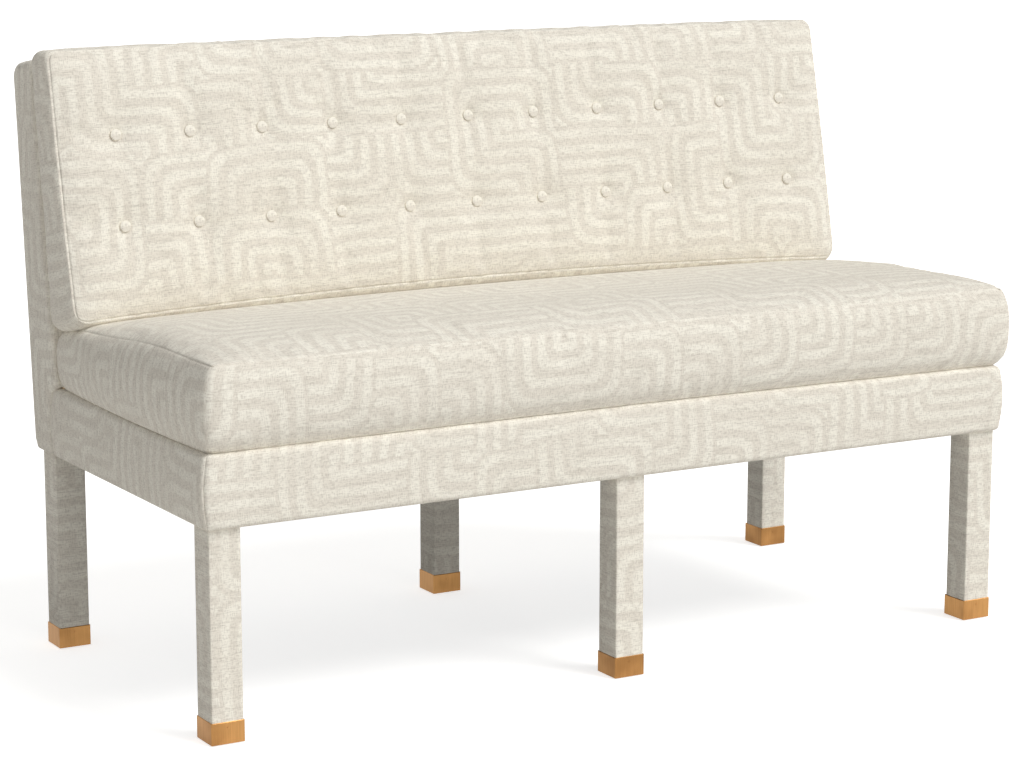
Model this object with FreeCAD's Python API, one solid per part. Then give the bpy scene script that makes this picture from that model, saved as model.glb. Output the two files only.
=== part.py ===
import FreeCAD, Part
import math
import os

# Upholstered banquette bench: a hardwood frame on six wrapped legs with brass feet,
# a thick tight seat over sinuous springs, and a raked back with a buttoned pad.
# Millimetres. X runs along the bench, Y from front to back, Z up. The origin is on the
# floor under the middle of the whole bench.

os.makedirs("parts", exist_ok=True)

Vector = FreeCAD.Vector

# Driving sizes of the whole bench
base_width = 1220.0            # across the upholstered base, side to side
overall_depth = 604.0          # front of the seat to the top rear edge of the back
overall_height = 820.0         # floor to the top of the back pad
base_bottom = 277.0            # floor to the underside of the upholstered base
base_height = 91.0             # height of the upholstered base band
seat_rise = 122.0              # base band to the top of the seat's crown

# Running gaps between pieces that only touch
fit_gap = 0.3                  # soft pieces and their neighbours
foam_gap = 0.6                 # foam and the cover sewn round it
hole_gap = 0.1                 # round a dowel, pin, nail or screw
overrun = 5.0                  # how far a cutting shape runs past what it cuts

# Cloth, wadding and sheet materials
cloth = 1.5                    # upholstery fabric with its backing
top_wadding = 6.7              # polyester wadding over the back's top rail
dust_cloth = 1.0               # black cloth under the base
insulator_thickness = 3.0      # felt over the springs
panel_thickness = 6.0          # plywood that carries the back pad
liner_thickness = 3.0          # board behind the frame, under the outside back

# Legs and feet
leg_core = 38.6                # bare wooden leg, square
leg_front_setback = 9.4        # base band's front face to a wrapped front leg's face
leg_side_setback = 8.2         # base band's side to a wrapped outer leg's face
leg_rear_setback = 3.4         # outside back's lower edge to a wrapped rear leg's face
leg_edge = 1.4                 # rounding of a wrapped leg's upright edges
ferrule_height = 28.0
ferrule_wall = 1.5
ferrule_edge = 1.6             # rounding of the ferrule's upright edges
ferrule_lift = 1.5             # floor to the ferrule
ferrule_bevel = 0.6            # bevel on the ferrule's top rim
glide_radius = 12.0
glide_height = 4.0
glide_nail_radius = 1.6
glide_nail_length = 16.0
pin_radius = 0.8
pin_length = 12.0
pin_head_radius = 1.5
pin_head_height = 0.5
pin_height_share = 0.72        # of the ferrule's height

# Base frame
rail_thickness = 28.0
rail_top_drop = 12.0           # base band's top to the top of the rails
cross_rail_height = 58.0
cross_rail_clearance = 6.0     # rail bottoms to the cross rail's bottom
block_side = 80.0              # corner block, along each rail
block_height = 40.0
block_lift = 14.0              # rail bottoms to the block
block_screw_share = 0.28       # of the block's height, to the nearer screw
screw_radius = 2.2
screw_head_radius = 4.2
screw_head_height = 3.0
screw_length = 42.0
screw_bite = 18.0              # how far a screw goes into the wood behind the block
dowel_radius = 4.0
dowel_length = 36.0
dowel_spacing = 36.0
leg_bolt_radius = 3.0
leg_bolt_head_radius = 6.5
leg_bolt_head_height = 4.0
leg_bolt_spacing = 24.0

# Springs
springs_per_bay = 5
wire_radius = 1.8
spring_half_width = 22.0
spring_bends = 21
clip_width = 16.0
clip_depth = 14.0
clip_height = 6.6
clip_inset_share = 0.5         # of the rail's thickness

# Base band
band_front_setback = 5.5       # the seat's bulge to the base band's front face
band_corner = 10.0             # rounding of the upright front corners
band_edge = 5.0                # rounding of the lower edge
band_fold = 30.0               # cloth turned in under the rails
band_tuck = 22.1               # how far a side band runs in past the back frame's front face
seam_gap = 0.4                 # between two covers at a seam

# Seat
seat_bulge = 9.0               # the seat's sides past the base band, each side
seat_side_bow = 11.0           # how far a side bows out between its corners
seat_front_bow = 5.0
seat_corner = 26.0
seat_roll = 10.0               # how far the sewn edge is drawn in from the bulge
seat_rear_gap = 1.0            # seat to the back panel
seat_fold = 20.0               # cover turned in under the foam

# Back
pad_stand = 17.0               # how far the pad stands above the frame behind it
back_lean = 42.5               # how far the outside back leans out between base and top
back_base_thickness = 90.3     # frame's depth at the base band's top
back_top_thickness = 70.9      # frame's depth at its top
back_top_round = 22.0
back_bottom_round = 6.0
back_side_round = 4.0
back_post_width = 38.6
top_rail_height = 22.0
lower_rail_height = 60.0
lower_rail_lift = 38.0         # base band's top to the lower back rail
upright_width = 40.0
upright_depth = 28.0
upright_columns = 2.5          # button columns from the middle to an upright

# Back pad
pad_lift = 102.0               # base band's top to the underside of the pad
pad_bottom_thickness = 88.0
pad_top_thickness = 58.0
pad_crown = 9.0                # how far the face swells past its sewn edge
pad_edge = 8.0                 # how far the sewn front edge is drawn in
pad_corner = 24.0
pad_bow = 2.0

# Buttons
button_columns = 11
button_side_margin = 81.0      # pad's side to the nearest button
button_row_shares = (0.325, 0.675)  # of the face's height, down from its top edge
button_radius = 7.5
button_height = 4.6
button_edge_share = 1 / 3      # of the button's height, its straight rim
tuft_radius = 62.0             # the ball whose side makes a tuft
tuft_depth = 5.0
tie_radius = 1.0
anchor_length = 26.0
anchor_radius = 2.5

# Worked-out places
half_width = base_width / 2
half_depth = overall_depth / 2
base_top = base_bottom + base_height
rail_bottom = base_bottom + cloth + fit_gap
rail_top = base_top - rail_top_drop
band_front = -half_depth + band_front_setback
leg_wrapped = leg_core + 2 * cloth
back_rear_bottom = half_depth - back_lean
leg_front_y = band_front + leg_front_setback + leg_wrapped / 2
leg_rear_y = back_rear_bottom - leg_rear_setback - leg_wrapped / 2
leg_spacing_x = half_width - leg_side_setback - leg_wrapped / 2
leg_columns = {"left": -leg_spacing_x, "centre": 0.0, "right": leg_spacing_x}
rail_outer_x = leg_spacing_x + leg_core / 2
rail_front_y = leg_front_y - leg_core / 2
rear_rail_back_y = leg_rear_y - leg_core / 2
rear_rail_front_y = rear_rail_back_y - rail_thickness
wood_rear_setback = cloth + fit_gap + liner_thickness
back_top = overall_height - pad_stand
wood_top = back_top - cloth - 2 * fit_gap - top_wadding
top_rail_bottom = wood_top - top_rail_height

pad_bottom = base_top + pad_lift
rear_rake = back_lean / (back_top - back_top_round - base_bottom)


def back_rear(z):
    """Y of the outside back at a height."""
    return back_rear_bottom + rear_rake * (z - base_bottom)


back_front_bottom = back_rear(base_top) - back_base_thickness
back_front_top = back_rear(back_top) - back_top_thickness
front_rake = (back_front_top - back_front_bottom) / (back_top - base_top)
side_band_end = back_front_bottom + band_tuck
button_pitch = 2 * (half_width - button_side_margin) / (button_columns - 1)


def back_front(z):
    """Y of the back frame's front face at a height."""
    return back_front_bottom + front_rake * (z - base_top)


def box(low, high):
    """A block between two corners, each given as x, y, z."""
    size = [high[axis] - low[axis] for axis in range(3)]
    return Part.makeBox(size[0], size[1], size[2], Vector(*low))


def rod(radius, start, end):
    """A round bar from one point to another."""
    run = Vector(*end) - Vector(*start)
    return Part.makeCylinder(radius, run.Length, Vector(*start), run)


def side_prism(points, low_x, high_x):
    """A solid whose outline in Y and Z runs from one X to another."""
    corners = [Vector(low_x, y, z) for y, z in points]
    outline = Part.makePolygon(corners + corners[:1])
    return Part.Face(outline).extrude(Vector(high_x - low_x, 0, 0))


def save(name, shape):
    shape.exportStep("parts/" + name + ".step")


def save_group(name, shapes):
    save(name, Part.makeCompound(shapes))


def mirrored(shape):
    """The same piece on the other side of the bench."""
    return shape.mirror(Vector(0, 0, 0), Vector(1, 0, 0))


# Fasteners are collected as they are placed, and the wood is drilled for them at the end
dowels = []
screws = []
leg_bolts = []
drillings = []


def add_dowels(x, y, z, axis):
    """Two dowels, one above the other, across a joint at a point."""
    reach = Vector(*axis) * (dowel_length / 2)
    for side in (-1, 1):
        middle = Vector(x, y, z + side * dowel_spacing / 2)
        dowels.append(rod(dowel_radius, middle - reach, middle + reach))
        deeper = reach + Vector(*axis) * hole_gap
        drillings.append(rod(dowel_radius + hole_gap, middle - deeper, middle + deeper))


def headed(head_radius, head_height, radius, length, seat, axis):
    """A fastener whose head sits on a point and whose shank runs along an axis."""
    seat = Vector(*seat)
    axis = Vector(*axis)
    head = rod(head_radius, seat - axis * head_height, seat)
    shank = rod(radius, seat, seat + axis * length)
    return head.fuse(shank).removeSplitter()


def add_screw(seat, axis):
    """A countersunk wood screw with the bore that its head goes in by."""
    screws.append(headed(screw_head_radius, screw_head_height, screw_radius, screw_length, seat, axis))
    point = Vector(*seat)
    line = Vector(*axis)
    tip = point + line * (screw_length + hole_gap)
    shank_hole = rod(screw_radius + hole_gap, point - line * screw_head_height, tip)
    head_bore = rod(screw_head_radius + hole_gap, point - line * block_side, point)
    drillings.append(shank_hole.fuse(head_bore))


def drilled(shape, holes):
    """A wooden piece with every hole that reaches it."""
    near = [hole for hole in holes if hole.BoundBox.intersect(shape.BoundBox)]
    return shape.cut(Part.makeCompound(near)) if near else shape


# Legs. Front legs and the middle rear leg stop at the rails; the outer rear legs are sawn
# in one piece with the raked back posts.
def leg_core_block(x, y, top):
    half = leg_core / 2
    return box((x - half, y - half, glide_height), (x + half, y + half, top))


def rear_post(x):
    """Rear leg and raked back post, sawn from one plank."""
    half = back_post_width / 2
    outline = [
        (back_front(rail_bottom) + panel_thickness, rail_bottom),
        (back_front(top_rail_bottom) + panel_thickness, top_rail_bottom),
        (back_rear(top_rail_bottom) - wood_rear_setback, top_rail_bottom),
        (back_rear(rail_bottom) - wood_rear_setback, rail_bottom),
    ]
    post = side_prism(outline, x - half, x + half)
    leg = leg_core_block(x, leg_rear_y, rail_bottom + overrun)
    return post.fuse(leg).removeSplitter()


legs = {}
for column, column_x in leg_columns.items():
    legs["front_" + column + "_leg"] = leg_core_block(column_x, leg_front_y, rail_top)
legs["rear_left_leg_post"] = rear_post(leg_columns["left"])
legs["rear_centre_leg"] = leg_core_block(leg_columns["centre"], leg_rear_y, rail_top)
legs["rear_right_leg_post"] = rear_post(leg_columns["right"])

leg_places = {}
for column, column_x in leg_columns.items():
    leg_places["front_" + column] = (column_x, leg_front_y)
    leg_places["rear_" + column] = (column_x, leg_rear_y)


# Base rails, dowelled between the legs
def front_rail(side):
    inner = leg_core / 2
    outer = leg_spacing_x - leg_core / 2
    low_x, high_x = sorted((side * inner, side * outer))
    for end_x in (low_x, high_x):
        add_dowels(end_x, rail_front_y + rail_thickness / 2, rail_middle, (1, 0, 0))
    return box((low_x, rail_front_y, rail_bottom), (high_x, rail_front_y + rail_thickness, rail_top))


def side_rail(side):
    low_x, high_x = sorted((side * rail_outer_x, side * (rail_outer_x - rail_thickness)))
    middle_x = (low_x + high_x) / 2
    start_y = leg_front_y + leg_core / 2
    add_dowels(middle_x, start_y, rail_middle, (0, 1, 0))
    add_dowels(middle_x, back_front(rail_middle) + panel_thickness, rail_middle, (0, 1, 0))
    rail = box((low_x, start_y, rail_bottom), (high_x, rear_rail_front_y, rail_top))
    return rail.cut(legs["rear_left_leg_post"]).cut(legs["rear_right_leg_post"])


rail_middle = (rail_bottom + rail_top) / 2
rails = {
    "front_left_rail": front_rail(-1),
    "front_right_rail": front_rail(1),
    "left_side_rail": side_rail(-1),
    "right_side_rail": side_rail(1),
}

rear_rail_end = leg_spacing_x - back_post_width / 2
rails["rear_seat_rail"] = box(
    (-rear_rail_end, rear_rail_front_y, rail_bottom),
    (rear_rail_end, rear_rail_back_y, rail_top),
)
for side in (-1, 1):
    add_dowels(side * rear_rail_end, (rear_rail_front_y + rear_rail_back_y) / 2, rail_middle, (1, 0, 0))

cross_start = leg_front_y + leg_core / 2
cross_bottom = rail_bottom + cross_rail_clearance
rails["centre_cross_rail"] = box(
    (-rail_thickness / 2, cross_start, cross_bottom),
    (rail_thickness / 2, rear_rail_front_y, cross_bottom + cross_rail_height),
)
for end_y in (cross_start, rear_rail_front_y):
    add_dowels(0, end_y, cross_bottom + cross_rail_height / 2, (0, 1, 0))


# The middle rear leg is bolted through the rear rail
def add_leg_bolt(x):
    length = rail_thickness + leg_core - leg_bolt_head_height
    seat = (x, rear_rail_front_y + leg_bolt_head_height, rail_middle)
    leg_bolts.append(headed(
        leg_bolt_head_radius, leg_bolt_head_height, leg_bolt_radius, length, seat, (0, 1, 0)))
    point = Vector(*seat)
    depth = Vector(0, length + hole_gap, 0)
    head_reach = Vector(0, leg_bolt_head_height + overrun, 0)
    shank_hole = rod(leg_bolt_radius + hole_gap, point - head_reach, point + depth)
    head_bore = rod(leg_bolt_head_radius + hole_gap, point - head_reach, point)
    drillings.append(shank_hole.fuse(head_bore))


for side in (-1, 1):
    add_leg_bolt(side * leg_bolt_spacing / 2)


# Corner blocks glued and screwed into the four corners of the base
def corner_block(side, front):
    corner_x = side * (rail_outer_x - rail_thickness)
    corner_y = rail_front_y + rail_thickness if front else rear_rail_front_y
    inward = 1 if front else -1
    low = rail_bottom + block_lift
    corners = [
        Vector(corner_x, corner_y, low),
        Vector(corner_x - side * block_side, corner_y, low),
        Vector(corner_x, corner_y + inward * block_side, low),
    ]
    block = Part.Face(Part.makePolygon(corners + corners[:1])).extrude(Vector(0, 0, block_height))
    for leg in legs.values():
        block = block.cut(leg)
    bite = screw_length - screw_bite
    away = block_side / 2
    lower_screw_z = low + block_height * block_screw_share
    upper_screw_z = low + block_height * (1 - block_screw_share)
    add_screw((corner_x - side * away, corner_y + inward * bite, lower_screw_z), (0, -inward, 0))
    add_screw((corner_x - side * bite, corner_y + inward * away, upper_screw_z), (side, 0, 0))
    return block


corner_blocks = [corner_block(side, front) for side in (-1, 1) for front in (True, False)]


# Back frame above the base
def raked_bar(low_z, high_z, thickness, low_x, high_x):
    """A bar against the back of the plywood panel, following its rake."""
    points = [
        (back_front(low_z) + panel_thickness, low_z),
        (back_front(high_z) + panel_thickness, high_z),
        (back_front(high_z) + panel_thickness + thickness, high_z),
        (back_front(low_z) + panel_thickness + thickness, low_z),
    ]
    return side_prism(points, low_x, high_x)


top_rail = side_prism(
    [
        (back_front(top_rail_bottom) + panel_thickness, top_rail_bottom),
        (back_front(wood_top) + panel_thickness, wood_top),
        (back_rear(wood_top) - wood_rear_setback - back_top_round, wood_top),
        (back_rear(top_rail_bottom) - wood_rear_setback, top_rail_bottom),
    ],
    -rail_outer_x, rail_outer_x,
)

lower_rail_bottom = base_top + lower_rail_lift
lower_rail_top = lower_rail_bottom + lower_rail_height
lower_rail = raked_bar(lower_rail_bottom, lower_rail_top, upright_depth, -rear_rail_end, rear_rail_end)
lower_rail_middle = (lower_rail_bottom + lower_rail_top) / 2
lower_rail_y = back_front(lower_rail_middle) + panel_thickness + upright_depth / 2
for side in (-1, 1):
    add_dowels(side * rear_rail_end, lower_rail_y, lower_rail_middle, (1, 0, 0))

upright_x = button_pitch * upright_columns
uprights = {}
for name, side in (("left", -1), ("right", 1)):
    middle_x = side * upright_x
    uprights["back_" + name + "_upright"] = raked_bar(
        lower_rail_top, top_rail_bottom, upright_depth,
        middle_x - upright_width / 2, middle_x + upright_width / 2)

for middle_x in (-leg_spacing_x, -upright_x, upright_x, leg_spacing_x):
    screw_y = back_front(top_rail_bottom) + panel_thickness + upright_depth / 2
    seat = (middle_x, screw_y + front_rake * top_rail_height / 2, wood_top - screw_head_height)
    add_screw(seat, (0, 0, -1))


# Back pad: a form in raked planes, from the plywood panel to the crowned face


def pad_corner_point(front_share, top):
    """A point on the pad's lower or upper line, from its rear (0) to its sewn edge (1)."""
    z = overall_height if top else pad_bottom
    thickness = pad_top_thickness if top else pad_bottom_thickness
    return Vector(0, back_front(z) - front_share * thickness, z)


def curved_outline(half_x, low, high, corner, side_bow, end_bow, place):
    """A closed outline with bowed sides and rounded corners; place turns its points into space."""
    def arc(first, middle, last):
        return Part.Arc(place(*first), place(*middle), place(*last)).toShape()

    cut = corner * (1 - math.sqrt(1 / 2))
    middle_y = (low + high) / 2
    edges = [
        arc((-half_x + corner, low), (0, low - end_bow), (half_x - corner, low)),
        arc((half_x - corner, low), (half_x - cut, low + cut), (half_x, low + corner)),
        arc((half_x, low + corner), (half_x + side_bow, middle_y), (half_x, high - corner)),
        arc((half_x, high - corner), (half_x - cut, high - cut), (half_x - corner, high)),
        arc((half_x - corner, high), (0, high + end_bow), (-half_x + corner, high)),
        arc((-half_x + corner, high), (-half_x + cut, high - cut), (-half_x, high - corner)),
        arc((-half_x, high - corner), (-half_x - side_bow, middle_y), (-half_x, low + corner)),
        arc((-half_x, low + corner), (-half_x + cut, low + cut), (-half_x + corner, low)),
    ]
    return Part.Wire(edges)


def closed_form(body, crown):
    """A solid from two lofts that meet at a sewn edge, closed at both ends."""
    faces = Part.makeLoft(body, False).Faces + Part.makeLoft(crown, False).Faces
    faces += [Part.Face(body[0]), Part.Face(crown[-1])]
    shell = Part.Shell(faces)
    shell.sewShape()
    return Part.Solid(shell)


def pad_outline(front_share, side_inset, top_inset, bottom_inset, lift, shrink):
    low = pad_corner_point(front_share, False)
    high = pad_corner_point(front_share, True)
    up = (high - low).normalize()
    forward = Vector(0, -up.z, up.y)
    origin = low + forward * (lift - shrink * min(front_share, 1))
    length = (high - low).Length

    def place(x, v):
        return origin + Vector(x, 0, 0) + up * v

    return curved_outline(
        half_width - side_inset - shrink - pad_bow, bottom_inset + shrink + pad_bow,
        length - top_inset - shrink - pad_bow, pad_corner - shrink, pad_bow, pad_bow, place)


# Shares: place between rear and front, side inset, top inset, bottom inset (of pad_edge)
pad_body_shares = (
    (0.0, 0.8, 2.9, 1.9),
    (0.18, 0.2, 0.9, 0.7),
    (0.45, 0.0, 0.0, 0.0),
    (0.78, 0.1, 0.1, 0.2),
    (1.0, 1.0, 1.0, 1.6),
)
# Shares: inset (of pad_edge) and lift (of pad_crown)
pad_crown_shares = ((1.0, 1.0, 1.6, 0.0), (3.2, 3.2, 3.6, 0.66), (7.2, 7.2, 7.2, 1.0))


def pad_form(shrink):
    """The pad's body and crown; shrink moves its skin inwards all round."""
    body = []
    for place_share, side_share, top_share, bottom_share in pad_body_shares:
        body.append(pad_outline(
            place_share, side_share * pad_edge, top_share * pad_edge,
            bottom_share * pad_edge, 0, shrink))
    crown = []
    for side_share, top_share, bottom_share, lift_share in pad_crown_shares:
        crown.append(pad_outline(
            1.0, side_share * pad_edge, top_share * pad_edge,
            bottom_share * pad_edge, lift_share * pad_crown, shrink))
    return closed_form(body, crown)


pad_low = pad_corner_point(1.0, False)
pad_high = pad_corner_point(1.0, True)
pad_up = (pad_high - pad_low).normalize()
pad_forward = Vector(0, -pad_up.z, pad_up.y)
button_columns_x = [
    (column - (button_columns - 1) / 2) * button_pitch for column in range(button_columns)
]


def tuft_points():
    """The place of each button on the crowned face, before the tuft is pulled in."""
    places = []
    face_height = (pad_high - pad_low).Length
    for row_share in button_row_shares:
        for x in button_columns_x:
            on_face = pad_high - pad_up * (face_height * row_share) + pad_forward * pad_crown
            places.append(on_face + Vector(x, 0, 0))
    return places


def tuft_balls(shrink):
    radius = tuft_radius + shrink
    offset = pad_forward * (tuft_radius - tuft_depth)
    return Part.makeCompound([Part.makeSphere(radius, point + offset) for point in tuft_points()])


tie_holes = []
ties = []
anchors = []
buttons = []


def button_shape(point):
    """A cloth-covered button: a flat back and a domed face, seated in its tuft."""
    seat_rise_in_tuft = tuft_radius - math.sqrt(tuft_radius ** 2 - button_radius ** 2)
    back = point - pad_forward * (tuft_depth - seat_rise_in_tuft - fit_gap)
    edge = button_height * button_edge_share
    dome_height = button_height - edge
    dome_radius = (button_radius ** 2 + dome_height ** 2) / (2 * dome_height)
    half_angle = math.asin(button_radius / dome_radius) / 2
    on_dome = Vector(
        dome_radius * math.sin(half_angle), 0,
        button_height - dome_radius * (1 - math.cos(half_angle)))
    profile = [
        Part.LineSegment(Vector(0, 0, 0), Vector(button_radius, 0, 0)).toShape(),
        Part.LineSegment(Vector(button_radius, 0, 0), Vector(button_radius, 0, edge)).toShape(),
        Part.Arc(Vector(button_radius, 0, edge), on_dome, Vector(0, 0, button_height)).toShape(),
        Part.LineSegment(Vector(0, 0, button_height), Vector(0, 0, 0)).toShape(),
    ]
    disc = Part.Face(Part.Wire(profile)).revolve(Vector(0, 0, 0), Vector(0, 0, 1), 360)
    turn = FreeCAD.Rotation(Vector(0, 0, 1), pad_forward)
    disc.Placement = FreeCAD.Placement(back, turn)
    return disc, back


def panel_rear_point(point):
    """Where a line from a button straight through the pad leaves the plywood panel."""
    rear_y_at_zero = back_front(0) + panel_thickness
    direction = pad_forward * -1
    gap = rear_y_at_zero + front_rake * point.z - point.y
    return point + direction * (gap / (direction.y - front_rake * direction.z))


for tuft in tuft_points():
    disc, back = button_shape(tuft)
    far_end = panel_rear_point(back)
    buttons.append(disc)
    ties.append(rod(tie_radius, back, far_end))
    tie_holes.append(rod(tie_radius + fit_gap, back, far_end - pad_forward * overrun))
    anchor_middle = far_end - pad_forward * (anchor_radius + 2 * fit_gap)
    half_anchor = Vector(anchor_length / 2, 0, 0)
    anchors.append(rod(anchor_radius, anchor_middle - half_anchor, anchor_middle + half_anchor))
tie_drillings = Part.makeCompound(tie_holes)

pad_outer = pad_form(0).cut(tuft_balls(0))
pad_cavity = pad_form(cloth).cut(tuft_balls(cloth))
back_pad_cover = pad_outer.cut(pad_cavity).cut(tie_drillings)
foam_skin = cloth + foam_gap
back_pad_foam = pad_form(foam_skin).cut(tuft_balls(foam_skin)).cut(tie_drillings)
back_panel_bottom = base_top + fit_gap
back_panel = side_prism(
    [
        (back_front(back_panel_bottom), back_panel_bottom),
        (back_front(wood_top), wood_top),
        (back_front(wood_top) + panel_thickness, wood_top),
        (back_front(back_panel_bottom) + panel_thickness, back_panel_bottom),
    ],
    -rail_outer_x, rail_outer_x,
).cut(tie_drillings)


# Seat: a crowned form with bulging sides over a plinth that drops between the bands
seat_bottom = base_top + fit_gap
seat_half_width = half_width + seat_bulge
seat_depth = back_front(seat_bottom) + half_depth


def seat_outline(height_share, side_inset, rear_inset, shrink, low_z):
    z = low_z + height_share * (base_top + seat_rise - shrink - low_z)
    inset = side_inset + shrink

    def place(x, y):
        return Vector(x, y, z)

    return curved_outline(
        seat_half_width - inset - seat_side_bow,
        -half_depth + inset + seat_front_bow,
        back_front(z) - seat_rear_gap - rear_inset - shrink - seat_front_bow,
        seat_corner - shrink, seat_side_bow, seat_front_bow, place)


# Shares: height, side and front inset (of seat_roll), rear inset (of seat_roll)
seat_body_shares = (
    (0.0, 0.75, 0.3),
    (0.12, 0.24, 0.0),
    (0.30, 0.02, 0.0),
    (0.50, 0.0, 0.0),
    (0.69, 0.3, 0.8),
    (0.79, 0.82, 3.2),
    (0.825, 1.0, 8.0),
)
# Shares: height, then how far in from the sewn edge at the sides and rear (of seat_depth)
seat_crown_shares = (
    (0.825, 0.0, 0.0),
    (0.93, 0.084, 0.104),
    (0.98, 0.21, 0.21),
    (1.0, 0.335, 0.27),
)


def seat_form(shrink, low_z):
    """The seat's body and crown; shrink moves its skin inwards all round."""
    body = []
    for height_share, side_share, rear_share in seat_body_shares:
        edge_in = side_share * seat_roll
        edge_rear = rear_share * seat_roll
        body.append(seat_outline(height_share, edge_in, edge_rear, shrink, low_z))
    crown = []
    for height_share, side_share, rear_share in seat_crown_shares:
        side_inset = edge_in + side_share * seat_depth
        rear_inset = edge_rear + rear_share * seat_depth
        crown.append(seat_outline(height_share, side_inset, rear_inset, shrink, low_z))
    return closed_form(body, crown)


def seat_plug(inset, low_z, high_z):
    """A low block that follows the seat's bottom outline at an inset."""
    height_share, side_share, rear_share = seat_body_shares[0]
    outline = seat_outline(height_share, side_share * seat_roll, rear_share * seat_roll, inset, seat_bottom)
    outline.translate(Vector(0, 0, low_z - seat_bottom))
    return Part.Face(outline).extrude(Vector(0, 0, high_z - low_z))


insulator_bottom = rail_top + clip_height + fit_gap
insulator_top = insulator_bottom + insulator_thickness
seat_outer = seat_form(0, seat_bottom)
seat_cavity = seat_form(cloth, seat_bottom + cloth)
seat_mouth = seat_plug(seat_fold, seat_bottom - overrun, seat_bottom + cloth + overrun)
seat_cover = seat_outer.cut(seat_cavity).cut(seat_mouth)
foam_body = seat_form(foam_skin, seat_bottom + foam_skin)
foam_plinth = seat_plug(seat_fold + foam_gap, insulator_top + fit_gap, seat_bottom + foam_skin + overrun)
seat_foam = foam_body.fuse(foam_plinth)
seat_insulator = box(
    (-rail_outer_x + fit_gap, rail_front_y + fit_gap, insulator_bottom),
    (rail_outer_x - fit_gap, back_front(insulator_top) - seat_rear_gap, insulator_top),
)


# Sinuous springs, clipped to the tops of the front and rear rails
spring_z = rail_top + clip_height / 2
spring_start = rail_front_y + rail_thickness * clip_inset_share
spring_end = rear_rail_front_y + rail_thickness * clip_inset_share
bend_pitch = (spring_end - spring_start) / spring_bends


def spring_wire(middle_x):
    """One spring: cross runs joined by half-turn bends, alternating from side to side."""
    bend = bend_pitch / 2
    reach = spring_half_width - bend
    edges = []
    side = 1
    start = Vector(middle_x - side * reach, spring_start, spring_z)
    for turn in range(spring_bends):
        end = Vector(middle_x + side * reach, start.y, spring_z)
        edges.append(Part.LineSegment(start, end).toShape())
        tip = Vector(end.x + side * bend, end.y + bend, spring_z)
        after = Vector(end.x, end.y + bend_pitch, spring_z)
        edges.append(Part.Arc(end, tip, after).toShape())
        start = after
        side = -side
    end = Vector(middle_x + side * reach, start.y, spring_z)
    edges.append(Part.LineSegment(start, end).toShape())
    path = Part.Wire(edges)
    ring = Part.Wire(Part.makeCircle(
        wire_radius, Vector(middle_x - reach, spring_start, spring_z), Vector(1, 0, 0)))
    return path.makePipeShell([ring], True, False)


def spring_clip(middle_x, y):
    """A steel clip on the rail that holds one end run of a spring."""
    block = box(
        (middle_x - clip_width / 2, y - clip_depth / 2, rail_top),
        (middle_x + clip_width / 2, y + clip_depth / 2, rail_top + clip_height),
    )
    reach = Vector(clip_width, 0, 0)
    middle = Vector(middle_x, y, spring_z)
    return block.cut(rod(wire_radius + hole_gap, middle - reach, middle + reach))


bay_width = leg_spacing_x - leg_core
spring_columns = []
for side in (-1, 1):
    for number in range(springs_per_bay):
        from_middle = leg_core / 2 + bay_width * (number + 1 / 2) / springs_per_bay
        spring_columns.append(side * from_middle)
springs = [spring_wire(x) for x in spring_columns]
clips = [spring_clip(x, y) for x in spring_columns for y in (spring_start, spring_end)]


# Wrapped legs, brass feet, pins and glides
def square_tube(x, y, outer, inner, low_z, high_z, edge):
    """A square sleeve whose upright outer edges are rounded."""
    solid = box((x - outer / 2, y - outer / 2, low_z), (x + outer / 2, y + outer / 2, high_z))
    upright = [e for e in solid.Edges if abs(e.BoundBox.ZLength - (high_z - low_z)) < fit_gap]
    solid = solid.makeFillet(edge, upright)
    hollow = box(
        (x - inner / 2, y - inner / 2, low_z - overrun),
        (x + inner / 2, y + inner / 2, high_z + overrun))
    return solid.cut(hollow)


sleeves = {}
ferrules = {}
glides = []
pins = []
ferrule_inner = leg_wrapped + 2 * fit_gap
ferrule_outer = ferrule_inner + 2 * ferrule_wall
pin_z = ferrule_lift + ferrule_height * pin_height_share
sleeve_top = rail_bottom - fit_gap
for place, (x, y) in leg_places.items():
    sleeve = square_tube(x, y, leg_wrapped, leg_core, glide_height, sleeve_top, leg_edge)
    ferrule_top = ferrule_lift + ferrule_height
    ferrule = square_tube(x, y, ferrule_outer, ferrule_inner, ferrule_lift, ferrule_top, ferrule_edge)
    rim = [
        e for e in ferrule.Edges
        if abs(e.BoundBox.ZMin - ferrule_top) < hole_gap
        and e.BoundBox.ZLength < hole_gap
        and max(abs(e.CenterOfMass.x - x), abs(e.CenterOfMass.y - y)) > leg_wrapped / 2 + ferrule_wall
    ]
    ferrule = ferrule.makeChamfer(ferrule_bevel, rim)
    for side in (-1, 1):
        face = Vector(x, y + side * ferrule_outer / 2, pin_z)
        inward = Vector(0, -side, 0)
        pins.append(headed(pin_head_radius, pin_head_height, pin_radius, pin_length, face, inward))
        hole = rod(pin_radius + hole_gap, face - inward * overrun, face + inward * (pin_length + hole_gap))
        sleeve = sleeve.cut(hole)
        ferrule = ferrule.cut(hole)
        drillings.append(hole)
    sleeves[place + "_leg_cover"] = sleeve
    ferrules[place + "_ferrule"] = ferrule
    disc = Part.makeCylinder(glide_radius, glide_height, Vector(x, y, 0))
    nail_reach = Vector(0, 0, glide_nail_length)
    top = Vector(x, y, glide_height)
    glides.append(disc.fuse(rod(glide_nail_radius, top, top + nail_reach)).removeSplitter())
    nail_end = top + nail_reach + Vector(0, 0, hole_gap)
    drillings.append(rod(glide_nail_radius + hole_gap, top - nail_reach, nail_end))

leg_sockets = Part.makeCompound([
    box(
        (x - leg_wrapped / 2 - fit_gap, y - leg_wrapped / 2 - fit_gap, glide_height),
        (x + leg_wrapped / 2 + fit_gap, y + leg_wrapped / 2 + fit_gap, rail_bottom))
    for x, y in leg_places.values()
])


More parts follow.
